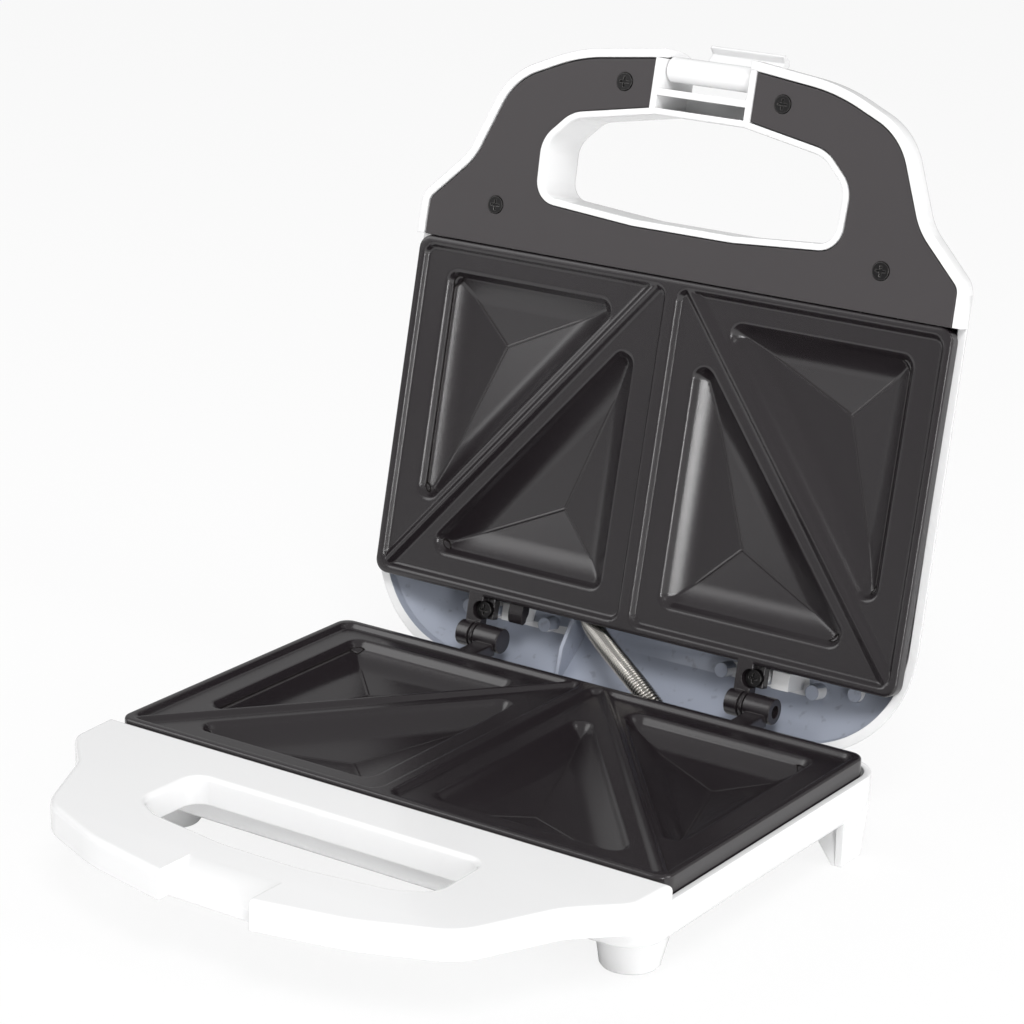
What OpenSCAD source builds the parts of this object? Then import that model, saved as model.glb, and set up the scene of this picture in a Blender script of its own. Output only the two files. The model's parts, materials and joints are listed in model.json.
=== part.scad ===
// Sandwich toaster, open: a tub-shaped base and a domed lid, each with a cast non-stick plate.
// The frame's origin lies on the table under the middle of the plates, X to the right, Y to the rear.
// The lid and all that it carries are drawn closed and then turned back about the hinge.

/* [Plates] */
// Width of both cast plates
plate_w = 215; // [200:1:230]
// Depth of both cast plates, front to rear
plate_d = 124; // [116:1:132]
// Height of the base plate's skirt
skirt_h = 12; // [10:0.5:13]
// Height of the lid plate's skirt
lid_skirt_h = 5; // [4.4:0.1:5.2]
// Radius of a plate's corners
plate_r = 5; // [3:0.5:8]
// Width of the raised rim
rim_w = 3; // [2:0.2:4]
// Thickness of the cast metal
metal_t = 2.2; // [1.8:0.1:2.6]
// Step from the rim down to the flat land
land_drop = 1.8; // [1.2:0.1:2.4]
// Width of the ridge between the two cells
divider_w = 5; // [4:0.2:7]
// Width of the cutting ridge across a cell
diagonal_w = 4.4; // [3:0.2:6]
// Flat land left between a well and the plate's rim
well_margin = 9; // [8:0.2:10]
// Depth of a well below its land
well_depth = 6.6; // [5:0.2:7.4]
// Extra depth where the three floors of a well meet
peak_depth = 2.2; // [1:0.1:2.4]
// Gap between the two rims when shut
rim_gap = 0.6; // [0.4:0.1:1.2]

/* [Base] */
// Height of the parting plane above the table
parting_h = 35.5; // [34:0.5:42]
// Half width of the base casing
side_x = 110.3; // [109:0.1:118]
// Wall of both casings
wall = 2.4; // [2:0.1:2.8]
// Clearance between a plate and its casing
plate_gap = 0.4; // [0.3:0.1:0.8]
// Part of a skirt that shows above the casing at the sides
reveal = 6.2; // [5:0.1:7]
// Casing behind the plate's rear edge
rear_shelf = 8.2; // [7.6:0.1:9]
// Radius of the base's rear corners
base_rear_r = 13; // [6:0.5:13]
// Height of the tub's underside above the table
tub_lift = 15; // [12:0.5:15]
// Thickness of the handle bar
bar_h = 10; // [8:0.5:11]
// Reach of the base's handle in front of the plate
base_reach = 86; // [80:0.5:94]
// Half width of the slot in the base's handle
slot_x = 57; // [50:1:62]
// Half width of the latch notch and of the clip's recess
latch_x = 17.6; // [14:0.1:20]

/* [Lid] */
// Half width of the lid casing
lid_x = 111.3; // [110:0.1:118]
// Angle of the open lid from shut
lid_open = 102.2; // [90:1:104]
// Height of the lid's dome above the parting plane
dome_h = 38; // [36:0.5:44]
// Reach of the lid's handle in front of the plate
lid_reach = 77.8; // [72:0.2:86]
// Reach of the lid's casing behind the plate
lid_rear = 26.5; // [24:0.5:30]
// Radius of the lid's rear corners
lid_rear_r = 42; // [36:1:60]
// Height of the handle's top above the parting plane
handle_h = 23.6; // [20:0.2:24]
// Half width of the opening in the lid's handle
hole_x = 62; // [54:0.5:64]
// Thickness of the handle cover
cover_t = 2.4; // [1.8:0.1:3]
// Turn of the unlatched clip from its latched place
latch_open = 132; // [110:1:140]

/* [Hinges] */
// Distance of the hinge axis behind the plates
hinge_back = 13.8; // [13.6:0.1:15]
// Radius of the barrels and knuckles
barrel_r = 4.6; // [4:0.1:5]
// Radius of the hinge pins
pin_r = 2.2; // [2:0.1:3]
// Radial clearance of a running pin
pin_clear = 0.06; // [0.02:0.01:0.1]
// Middle of each hinge from the part's middle
hinge_x = 56; // [50:1:60]
// Length of a lid knuckle
knuckle_w = 7.1; // [6:0.1:8]
// Length of a base barrel
barrel_w = 10.5; // [9:0.1:12]
// Gap between knuckle and barrel
side_gap = 0.3; // [0.2:0.05:0.5]

/* [Inside] */
// Radius of the tubular heating elements
rod_r = 3.2; // [2.6:0.1:3.4]
// Thickness of the reflector sheet
sheet_t = 0.6; // [0.5:0.1:1]
// Radius of the cord bush's bore
cord_r = 3.4; // [3:0.1:4]
// Radius of the spring conduit
conduit_r = 3.6; // [3:0.1:3.8]
// Where the conduit enters the base, to the right of the middle
conduit_x = 24.4; // [20:0.2:28]
// Radius of the two lamp lenses
lens_r = 3.5; // [3:0.1:5]

/* [Hidden] */
$fn = 40;
front_y = -plate_d / 2 - 2.3;
hinge_y = plate_d + hinge_back;      // from the plates' front edge, as all that follows
rim_z = rim_gap / 2;                 // lid rim above the parting plane, base rim below it
side_z = -rim_z - reveal;            // base casing's edge beside and behind the plate
bar_top = -1;
bar_low = bar_top - bar_h;
tub_low = tub_lift - parting_h;
floor_z = tub_low + wall;
lid_edge = rim_z + reveal - 1;       // lid casing's edge beside and behind the plate
lip_z = 0.5;
cover_z = 1;                         // face of the handle cover
tub_rear = plate_d + rear_shelf;
lid_back = plate_d + lid_rear;
tub_front = -16;
land_z = -land_drop - metal_t;       // underside of a plate's land, below its rim
sheet_z = land_z - 10.2;             // top of the reflector, below the rim
rod_z = land_z - rod_r - 0.1;
seat = 0.1;                          // gap between pieces that are clamped together
xi = divider_w / 2;
xo = plate_w / 2 - rim_w;
yf = rim_w;
yr = plate_d - rim_w;
posts = [[0, 40], [0, 84], [-plate_w / 2 + 12, 8.5], [plate_w / 2 - 12, 8.5]];

// Names of all sub-parts

// A vector of length one
function unit(v) = v / norm(v);

// Outline corners are [x, y, radius, pieces]; those right of the middle, front to rear, are given
function both_sides(c) = concat(c, [for (i = [len(c) - 1:-1:0]) [-c[i][0], c[i][1], c[i][2], c[i][3]]]);
function mix(a, b, t) = [for (i = [0:len(a) - 1]) a[i] + t * (b[i] - a[i])];

// The arc of corner i when the outline is moved inwards by d; hollow corners bend the other way
function corner_arc(c, i, d) =
    let (m = len(c),
         p = [c[i][0], c[i][1]],
         a = [c[(i + m - 1) % m][0], c[(i + m - 1) % m][1]],
         e = [c[(i + 1) % m][0], c[(i + 1) % m][1]],
         s = cross(p - a, e - p) < 0 ? -1 : 1,
         u = unit(a - p),
         v = unit(e - p),
         half = acos(u * v) / 2,
         r = max(c[i][2] - s * d, 0.5),
         mid = p + unit(u + v) * (s * d + r) / sin(half),
         a0 = atan2(s * u[0], -s * u[1]),
         turn = s * (180 - 2 * half))
    [for (k = [0:c[i][3]]) mid + r * [cos(a0 + turn * k / c[i][3]), sin(a0 + turn * k / c[i][3])]];
function outline(c, d = 0) = [for (i = [0:len(c) - 1]) each corner_arc(c, i, d)];
function lift(points, z) = [for (p = points) [p[0], p[1], z]];

// A solid through rings that all have the same number of points, lowest ring first
module loft(rings, tip = []) {
    m = len(rings[0]);
    last = len(rings) - 1;
    n = len(rings) * m;
    sides = [for (i = [0:last - 1], j = [0:m - 1])
        each [[i * m + j, (i + 1) * m + j, (i + 1) * m + (j + 1) % m],
              [i * m + j, (i + 1) * m + (j + 1) % m, i * m + (j + 1) % m]]];
    low = len(tip) > 0 ? [for (j = [0:m - 1]) [n, j, (j + 1) % m]] : [[for (j = [0:m - 1]) j]];
    high = [[for (j = [m - 1:-1:0]) last * m + j]];
    polyhedron(concat([for (r = rings) each r], len(tip) > 0 ? [tip] : []), concat(sides, low, high));
}

// A round bar along a path; "up" is a direction that the path never takes
module sweep(path, r, up = [0, 0, 1], n = 10) {
    last = len(path) - 1;
    loft([for (i = [0:last])
        let (t = unit(path[min(i + 1, last)] - path[max(i - 1, 0)]),
             a = unit(cross(up, t)),
             b = cross(t, a))
        [for (k = [0:n - 1]) path[i] + r * (cos(360 * k / n) * a + sin(360 * k / n) * b)]]);
}

// Points on a path whose inner corners are rounded
function bend(p, i, r) =
    let (u = unit(p[i - 1] - p[i]), v = unit(p[i + 1] - p[i]))
    [for (k = [0:4]) let (t = k / 4) p[i] + r * ((1 - t) * (1 - t) * u + t * t * v)];
function most(p, i, r) = min(r, 0.48 * norm(p[i - 1] - p[i]), 0.48 * norm(p[i + 1] - p[i]));
function rounded(p, r) =
    concat([p[0]], [for (i = [1:len(p) - 2]) each bend(p, i, most(p, i, r))], [p[len(p) - 1]]);

module slab(points, z0, z1) {
    translate([0, 0, z0]) linear_extrude(z1 - z0) polygon(points);
}

// A box given by its low and high corners
module box(a, b) {
    translate(a) cube(b - a);
}

module rod_x(x0, x1, y, z, r) {
    translate([x0, y, z]) rotate([0, 90, 0]) cylinder(h = x1 - x0, r = r);
}

// An upright cylinder at p = [x, y] from z0 to z1
module post(p, z0, z1, r) {
    translate([p[0], p[1], z0]) cylinder(h = z1 - z0, r = r);
}

// All parts are drawn from the middle of the plates' front edge in the parting plane
module placed() {
    translate([0, front_y, parting_h]) children();
}

// The lid's parts are drawn shut and turned open about the hinge axis
module opened() {
    placed() translate([0, hinge_y, 0]) rotate([-lid_open, 0, 0]) translate([0, -hinge_y, 0]) children();
}

// What is drawn for the base's plate, used in the lid: upside down and front to rear
module as_lid() {
    translate([0, 0, rim_z]) mirror([0, 0, 1]) children();
}
module as_base() {
    translate([0, plate_d, -rim_z]) mirror([0, 1, 0]) children();
}

// Plate outline and the outline of the right cell
plate_half = [[plate_w / 2, 0, plate_r, 5], [plate_w / 2, plate_d, plate_r, 5]];
cell = [[xi, yf, 4, 4], [xo, yf, 4, 4], [xo, yr, 4, 4], [xi, yr, 4, 4]];

// The two triangles left and right of the cutting ridge, which runs from corner pa to corner pb
pa = [xi + 4.5, yf];
pb = [xo, yr];
along = unit(pb - pa);
across = [along[1], -along[0]];
ridge = diagonal_w / 2;
land_a = [[pa[0] + ridge / across[0], yf], [xo, yf], [xo, yr + ridge / across[1]]];
land_b = [[xi, yf - (ridge + across[0] * (xi - pa[0])) / across[1]],
          [xo - ridge / across[0], yr], [xi, yr]];

// A triangle whose sides are moved inwards, the first of them starting at its first corner
function shrunk(t, m) = [for (i = [0:2])
    let (u = unit(t[(i + 2) % 3] - t[i]), v = unit(t[(i + 1) % 3] - t[i]))
    t[i] + (m[i] * u + m[(i + 2) % 3] * v) / abs(cross(u, v))];
well_a = shrunk(land_a, [well_margin - 0.8, well_margin + 1.3, 2.2]);
well_b = shrunk(land_b, [4.8, well_margin - 0.2, well_margin + 0.8]);

// The deepest point of a well, the middle of its triangle's inner circle
function heart(t) =
    let (a = norm(t[1] - t[2]), b = norm(t[2] - t[0]), c = norm(t[0] - t[1]))
    (a * t[0] + b * t[1] + c * t[2]) / (a + b + c);
function well_ring(t, d, z) = lift(outline([for (p = t) [p[0], p[1], 4.4, 6]], d), z);

// The hollow of one well, and the same grown by the metal's thickness for its underside
module well(t) {
    c = heart(t);
    loft([
        well_ring(t, 7, -land_drop - well_depth),
        well_ring(t, 4.8, -land_drop - well_depth * 0.9),
        well_ring(t, 2.6, -land_drop - well_depth * 0.6),
        well_ring(t, 1, -land_drop - well_depth * 0.2),
        well_ring(t, -0.4, -land_drop + 0.02),
        well_ring(t, -0.5, 1)
    ], [c[0], c[1], -land_drop - well_depth - peak_depth]);
}
module well_back(t) {
    c = heart(t);
    loft([
        well_ring(t, 6, land_z - well_depth),
        well_ring(t, 3.2, land_z - well_depth * 0.84),
        well_ring(t, 0.6, land_z - well_depth * 0.44),
        well_ring(t, -1.6, land_z + 0.6)
    ], [c[0], c[1], land_z - well_depth - peak_depth]);
}
module both_cells() {
    children();
    mirror([1, 0, 0]) children();
}

// A cast plate with its rim at height 0, its wells above and its skirt and posts below
module plate(skirt) {
    p = both_sides(plate_half);
    difference() {
        union() {
            difference() {
                loft([
                    lift(outline(p, 0.3), -skirt),
                    lift(outline(p), -skirt + 1),
                    lift(outline(p), -1),
                    lift(outline(p, 0.3), -0.3),
                    lift(outline(p, 1), 0)
                ]);
                slab(outline(p, metal_t), -skirt - 1, land_z);
            }
            both_cells() {
                well_back(well_a);
                well_back(well_b);
            }
            for (q = posts) post(q, sheet_z, land_z + 0.5, 3.2);
            for (q = clamp_at, s = [-1, 1])
                post(q + s * 5.4 * across_of(q), rod_z - rod_r - seat, land_z + 0.5, 1.9);
        }
        both_cells() {
            loft([
                lift(outline(cell, 0.9), -land_drop),
                lift(outline(cell, 0.2), -0.5),
                lift(outline(cell), 0.5)
            ]);
            well(well_a);
            well(well_b);
        }
        for (q = posts) post(q, sheet_z - 1, land_z - 2, 1.3);
        for (q = clamp_at, s = [-1, 1]) post(q + s * 5.4 * across_of(q), -20, land_z - 2.2, 0.95);
    }
    both_cells() translate([pa[0], pa[1], 0]) rotate([0, 0, atan2(along[1], along[0]) + 90])
        translate([0, 1.4, 0]) rotate([90, 0, 0]) linear_extrude(norm(pb - pa) + 2.8)
            polygon([[-ridge, -land_drop - 0.8], [ridge, -land_drop - 0.8], [ridge, -land_drop],
                     [ridge * 0.7, -0.75], [ridge * 0.3, -0.35], [-ridge * 0.3, -0.35],
                     [-ridge * 0.7, -0.75], [-ridge, -land_drop]]);
}

// The element runs behind the ridges, from one rear corner to the front and back
rod_end = pb - along * 12;
rod_low = pa + along * 11;
clamp_at = [pa + along * 50, pa + along * 110, [-(pa + along * 50)[0], (pa + along * 50)[1]],
            [-(pa + along * 110)[0], (pa + along * 110)[1]]];
function across_of(q) = q[0] > 0 ? across : [-across[0], across[1]];
module element(ends) {
    z = rod_z;
    sweep(rounded([[rod_end[0], rod_end[1], z], [rod_low[0], rod_low[1], z],
                   [-rod_low[0], rod_low[1], z], [-rod_end[0], rod_end[1], z]], 9), rod_r, n = 16);
    for (s = [-1, 1]) {
        tail = [for (e = ends) [s * (rod_end[0] + e[0]), rod_end[1] + e[1], e[2]]];
        sweep(rounded(concat([[s * (rod_end[0] - 1), rod_end[1] - 1.2, z - 0.5]], tail), 1.2),
              0.85, up = [1, 0, 0], n = 8);
    }
}
module clamps() {
    for (q = clamp_at) translate([q[0], q[1], rod_z - rod_r - seat - 1.2])
        rotate([0, 0, atan2(across_of(q)[1], across_of(q)[0])]) difference() {
            box([-7.6, -3.5, 0], [7.6, 3.5, 1.2]);
            for (s = [-1, 1]) post([s * 5.4, 0], -1, 2, 1.2);
        }
}
module clamp_screws() {
    for (q = clamp_at, s = [-1, 1]) let (c = q + s * 5.4 * across_of(q)) {
        post(c, rod_z - rod_r - seat - 2.5, rod_z - rod_r - seat - 1.2, 1.9);
        post(c, rod_z - rod_r - seat - 1.5, land_z - 2.6, 0.9);
    }
}
module reflector(open_corners) {
    difference() {
        slab(outline(both_sides([[plate_w / 2 - 8.5, 4, 4, 3], [plate_w / 2 - 8.5, plate_d - 4, 16, 5]])),
             sheet_z - sheet_t, sheet_z);
        for (q = posts) post(q, sheet_z - 2, sheet_z + 1, 1.8);
        if (open_corners) {
            box([-7, 102, sheet_z - 2], [7, 108, sheet_z + 1]);
            for (s = [-1, 1]) post([s * (rod_end[0] + 2), rod_end[1] + 1.6], sheet_z - 2, sheet_z + 1, 3.4);
        }
    }
}

// A pan-head screw with its cross recess; the head's top lies at height 0 and looks down
module screw(head_r, head_h, shank_r, reach) {
    difference() {
        union() {
            cylinder(h = head_h, r = head_r);
            cylinder(h = head_h + reach, r = shank_r);
        }
        box([-head_r * 0.62, -0.4, -1], [head_r * 0.62, 0.4, head_h * 0.6]);
        box([-0.4, -head_r * 0.62, -1], [0.4, head_r * 0.62, head_h * 0.6]);
    }
}

// Base: handle bar and shoulders, seen from above
base_half = [[16, -base_reach, 60, 2], [50, -base_reach + 7.2, 60, 2],
             [side_x - 31, -base_reach + 19.6, 20, 6], [side_x - 16.1, -35.2, 22, 4],
             [side_x - 0.8, -19.6, 8, 4], [side_x + 0.3, -plate_gap, 0.6, 1]];
tub_half = [[side_x, tub_front, 14, 6], [side_x, tub_rear, base_rear_r, 7]];
slot_half = [[15, -57.6, 50, 2], [46, -53, 16, 3], [slot_x, -46.5, 8, 4], [slot_x - 0.5, -21, 6, 4]];
module base_casing() {
    bar = both_sides(base_half);
    tub = both_sides(tub_half);
    slot = both_sides(slot_half);
    under = both_sides(concat([for (i = [0:4]) base_half[i]], [[side_x + 0.3, 6, 0.6, 1]]));
    color("white") placed() difference() {
        union() {
            loft([
                lift(outline(tub, 5), tub_low),
                lift(outline(tub, 2), tub_low + 0.8),
                lift(outline(tub, 0.5), tub_low + 2.8),
                lift(outline(tub), tub_low + 5.5),
                lift(outline(tub), side_z),
                lift(outline(tub, wall), side_z),
                lift(outline(tub, wall), floor_z + 2),
                lift(outline(tub, wall + 2), floor_z)
            ]);
            difference() {
                loft([
                    lift(outline(bar, 0.4), bar_low),
                    lift(outline(bar), bar_low + 0.8),
                    lift(outline(bar), bar_top - 1.6),
                    lift(outline(bar, 0.5), bar_top - 0.5),
                    lift(outline(bar, 1.6), bar_top)
                ]);
                difference() {
                    slab(outline(under, wall), bar_low - 1, bar_top - wall);
                    slab(outline(slot, -wall), bar_low - 2, bar_top);
                    box([-latch_x - wall, -base_reach, bar_low - 2],
                        [latch_x + wall, -base_reach + 14, bar_top]);
                    box([-side_x + 14, tub_front + 0.2, bar_low - 2],
                        [side_x - 14, tub_front + wall - 0.2, bar_top]);
                }
            }
            box([-side_x + 14, plate_d + plate_gap, side_z - wall - 0.1],
                [side_x - 14, tub_rear - 1, side_z - 0.1]);
            for (q = posts) post([q[0], plate_d - q[1]], tub_low + 1, -rim_z + sheet_z - sheet_t, 4.6);
            for (s = [-1, 1]) {
                front_foot(s);
                rear_leg(s);
                box([s * 74 - 1.5, tub_rear - 1, -15.2], [s * 74 + 1.5, hinge_y + 2.4, -10.6]);
            }
        }
        slab(outline(slot), bar_low - 1, bar_top + 1);
        // the latch's notch: a ramp down from the top and an upright face below it
        rotate([90, 0, 90]) translate([0, 0, -latch_x + 0.2]) linear_extrude(2 * latch_x - 0.4)
            polygon([[-base_reach - 2, bar_low - 1], [-base_reach + 5.5, bar_low - 1],
                     [-base_reach + 5.5, bar_top - 6.5], [-base_reach + 16, bar_top],
                     [-base_reach + 16, bar_top + 2], [-base_reach - 2, bar_top + 2]]);
        for (q = posts) {
            post([q[0], plate_d - q[1]], tub_low - 1, tub_low + 2.6, 3.6);
            post([q[0], plate_d - q[1]], tub_low, 0, 1.8);
        }
        post([-34, plate_d - 16], tub_low - 1, floor_z + 1, cord_r + 2);
        post([conduit_x - 0.8, plate_d + 4.6], side_z - wall - 1, side_z + 1, conduit_r + 1);
    }
}

// A tapered foot under the front corner and an angled leg behind the rear one
module front_foot(s) {
    c = [for (k = [0:23]) [cos(15 * k), sin(15 * k)]];
    loft([
        [for (p = c) [s * 91 + 8.9 * p[0], 8 + 8.9 * p[1], -parting_h]],
        [for (p = c) [s * 91 + 9.6 * p[0], 8 + 9.6 * p[1], -parting_h + 0.8]],
        [for (p = c) [s * 91.5 + 11.5 * p[0], 8 + 11.5 * p[1], tub_low - 5]],
        [for (p = c) [s * 92 + 13 * p[0], 8.6 + 13 * p[1], tub_low + 0.6]]
    ]);
}
module rear_leg(s) {
    mirror([s < 0 ? 1 : 0, 0, 0]) {
        loft([
            lift([[105.2, 110], [107.6, 110], [107.6, 123], [105.2, 123]], -parting_h),
            lift([[107.2, 106], [side_x - 0.3, 106], [side_x - 0.3, 123], [107.2, 123]], tub_low + 5)
        ]);
        translate([0, 112.4, 0]) rotate([90, 0, 0]) linear_extrude(2.4)
            polygon([[104, -parting_h], [106.5, -parting_h], [108.5, tub_low + 3], [92, tub_low + 1]]);
    }
}

// Lid: shoulders and handle, and the outline of the dome behind the handle
lid_half = [[12, -lid_reach, 60, 2], [52, -lid_reach + 4.6, 70, 2],
            [lid_x - 31.8, -lid_reach + 16.3, 27, 6], [lid_x - 19.5, -31.5, 22, 4],
            [lid_x - 2, -14.6, 8, 4], [lid_x, lid_back, lid_rear_r, 9]];
dome_half = [[12, -13.4, 60, 2], [46, -13, 60, 2], [72, -11.6, 14, 6],
             [88, -8.4, 12, 4], [lid_x - 6, 2, 8, 4], [lid_x, lid_back, lid_rear_r, 9]];
hole_half = [[18, -57, 10, 2], [51, -51.2, 14, 4], [hole_x, -40.5, 12, 4],
             [hole_x - 0.7, -18.2, 9, 4], [20, -15.2, 40, 2]];
// z, scale of the width and of the part behind y = 0, inset, share of dome, scale of the dome
function lid_ring(z, s, d, t, k) =
    let (mid = lid_back * 0.4)
    [for (p = outline(both_sides(mix(lid_half, dome_half, t)), d))
        [p[0] * s * k, mid + ((p[1] > 0 ? p[1] * s : p[1]) - mid) * k, z]];
module lid_casing() {
    hole = both_sides(hole_half);
    w = wall;
    h = handle_h;
    g = dome_h - handle_h;
    color("white") opened() difference() {
        union() {
            loft([
                lid_ring(dome_h - w, 0.87, 8 + w, 1, 0.5),
                lid_ring(h + g * 0.7 - w, 0.87, 8 + w, 1, 0.7),
                lid_ring(h + g * 0.4 - w, 0.87, 8 + w, 1, 0.86),
                lid_ring(h + g * 0.1 - w, 0.875, 8 + w, 1, 1),
                lid_ring(h + g * 0.04 - w, 0.88, 8.5 + w, 0.5, 1),
                lid_ring(h - w, 0.885, 7 + w, 0, 1),
                lid_ring(h - 4, 0.913, 1.6 + w, 0, 1),
                lid_ring(h * 0.5, 0.968, 0.2 + w, 0, 1),
                lid_ring(lid_edge + 3, 0.991, w, 0, 1),
                lid_ring(4, 1, w + 0.6, 0, 1),
                lid_ring(lip_z, 1, w + 0.7, 0, 1),
                lid_ring(lip_z, 1, 0.4, 0, 1),
                lid_ring(lip_z + 0.6, 1, 0, 0, 1),
                lid_ring(lid_edge + 0.5, 1, 0, 0, 1),
                lid_ring(lid_edge + 3, 0.991, 0, 0, 1),
                lid_ring(h * 0.52, 0.967, 0.2, 0, 1),
                lid_ring(h * 0.73, 0.934, 1, 0, 1),
                lid_ring(h - 2.6, 0.905, 2.6, 0, 1),
                lid_ring(h - 0.8, 0.89, 4.8, 0, 1),
                lid_ring(h, 0.88, 8.5, 0, 1),
                lid_ring(h + g * 0.04, 0.875, 9, 0.5, 1),
                lid_ring(h + g * 0.12, 0.87, 8, 1, 1),
                lid_ring(h + g * 0.4, 0.87, 8, 1, 0.92),
                lid_ring(h + g * 0.7, 0.87, 8, 1, 0.79),
                lid_ring(h + g * 0.9, 0.87, 8, 1, 0.62),
                lid_ring(dome_h, 0.87, 8, 1, 0.36)
            ]);
            difference() {
                slab(outline(hole, 0.3), lip_z, h - 1);
                slab(outline(hole, 2.7), lip_z - 1, h);
            }
            difference() {
                box([-latch_x - wall, -lid_reach + 4, lip_z], [latch_x + wall, -56.2, h - 2]);
                box([-latch_x, -lid_reach, 0], [latch_x, -lid_reach + 14.3, h]);
                box([-latch_x, -lid_reach + 16.7, 0], [latch_x, -56.7, h]);
            }
            for (s = [-1, 1]) {
                post([s * 31.5, -64], cover_z + cover_t, h - 1, 3.4);
                post([s * 77.5, -14.6], cover_z + cover_t + 3.2, h - 1, 3.6);
                post([s * 24, 34], dome_h - 5, dome_h - 1, 3);
                post([s * 24, 34], dome_h - 8.4, dome_h - 3, 1.4);
            }
            for (x = [-73, -40, 34, 70]) post([x, 131], 14, h - 1.4, 2.65);
            post([86, 128], 14, h - 4.5, 2.65);
            for (s = [-1, 1]) post([s * hinge_x - 3, plate_d + 4.8], 7.8, h, 3);
            for (s = [-1, 1]) box([s * hinge_x + 1, 125.6, 8.5], [s * hinge_x + 7.6, 131.8, h - 2.4]);
            box([-16.4, 119, 16], [-14.8, 128, h - 1.4]);
            rotate([90, 0, 90]) translate([0, 0, -28]) linear_extrude(1.6)
                polygon([[121, 14.2], [136, 7], [147.5, 6.2], [146.5, 10], [141.5, 15], [134, 20],
                         [127, 22.2], [121, 22.2]]);
        }
        translate([-200, plate_gap - 0.8, -5]) cube([400, 300, 5 + lid_edge]);
        slab(outline(hole, 2.7), lip_z - 1, dome_h);
        box([-latch_x, -lid_reach - 5, 0], [latch_x, -lid_reach + 14.3, dome_h]);
        for (s = [-1, 1]) {
            post([s * 31.5, -64], 0, h - 6, 1.4);
            post([s * 77.5, -14.6], 0, h - 6, 1.4);
            post([s * hinge_x - 3, plate_d + 4.8], 0, 18, 1.4);
            post([s * 11, 34], dome_h - 9, dome_h + 2, lens_r + 0.15);
        }
        rod_x(-latch_x - 2.1, latch_x + 2.1, latch_y, latch_z, 1.25);
    }
}

module handle_cover() {
    c = both_sides(lid_half);
    hole = both_sides(hole_half);
    color([0.3, 0.29, 0.3]) opened() difference() {
        slab(outline(c, 3.5), cover_z, cover_z + cover_t);
        slab(outline(hole), cover_z - 1, cover_z + cover_t + 1);
        box([-latch_x - wall - 0.3, -lid_reach - 5, cover_z - 1],
            [latch_x + wall + 0.3, -40, cover_z + cover_t + 1]);
        translate([-200, -0.3, cover_z - 1]) cube([400, 300, cover_t + 2]);
        for (s = [-1, 1]) for (q = [[s * 31.5, -64], [s * 77.5, -14.6]]) {
            post(q, cover_z - 1, cover_z + 1, 3.3);
            post(q, cover_z, cover_z + cover_t + 1, 1.8);
        }
    }
}
module cover_screws() {
    color("black") opened() for (s = [-1, 1]) {
        translate([s * 31.5, -64, cover_z - 0.3]) screw(3, 1.3, 1.35, 12);
        translate([s * 77.5, -14.6, cover_z - 0.3]) screw(3, 1.3, 1.35, 14);
    }
}

// Latch: barrel axis, and the lever drawn as latched
latch_y = -lid_reach + 7.3;
latch_z = 8;
clip_y = -base_reach + 5.1;          // inner face of the clip's arm when latched
module latch_lever() {
    w = latch_x - 0.4;
    difference() {
        union() {
            rod_x(-w, w, latch_y, latch_z, 4.4);
            rotate([90, 0, 90]) translate([0, 0, -w + 2.6]) linear_extrude(2 * w - 5.2)
                polygon([[latch_y - 4.2, latch_z + 1], [latch_y - 3, latch_z + 3.4],
                         [latch_y + 3, latch_z - 3], [latch_y - 1, latch_z - 4],
                         [clip_y - 0.2, bar_top - 1.5], [clip_y - 0.2, bar_low - 0.4],
                         [clip_y + 3.2, bar_low - 0.4], [clip_y + 2.6, bar_low - 1.8],
                         [clip_y - 1.2, bar_low - 3], [clip_y - 3, bar_low - 2.4],
                         [clip_y - 3, bar_top - 1]]);
        }
        rod_x(-w - 1, w + 1, latch_y, latch_z, 1.26);
    }
}
module latch_clip() {
    color("white") opened() translate([0, latch_y, latch_z]) rotate([-latch_open, 0, 0])
        translate([0, -latch_y, -latch_z]) latch_lever();
}
module latch_pin() {
    color("silver") opened() rod_x(-latch_x - 2, latch_x + 2, latch_y, latch_z, 1.2);
}

// Hinges: each has a lid knuckle on its left and a base barrel on its right
module hinge_x_at(s) {
    translate([s * hinge_x, 0, 0]) children();
}
knuckle_x0 = -9.3;
barrel_x0 = knuckle_x0 + knuckle_w + side_gap;
module lug(x0, x1, z0, z1) {
    box([x0, plate_d - 1, z0], [x1, hinge_y - barrel_r + 1.2, z1]);
}
module base_plate() {
    color("dimgray") placed() difference() {
        union() {
            as_base() plate(skirt_h);
            for (s = [-1, 1]) hinge_x_at(s) {
                lug(barrel_x0 + 1.5, barrel_x0 + barrel_w - 1.5, -5, -rim_z);
                rod_x(barrel_x0, barrel_x0 + barrel_w, hinge_y, 0, barrel_r);
            }
        }
        for (s = [-1, 1]) hinge_x_at(s)
            rod_x(barrel_x0 - 1, barrel_x0 + barrel_w + (s < 0 ? -1.5 : 1), hinge_y, 0, pin_r + pin_clear);
    }
}
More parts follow.
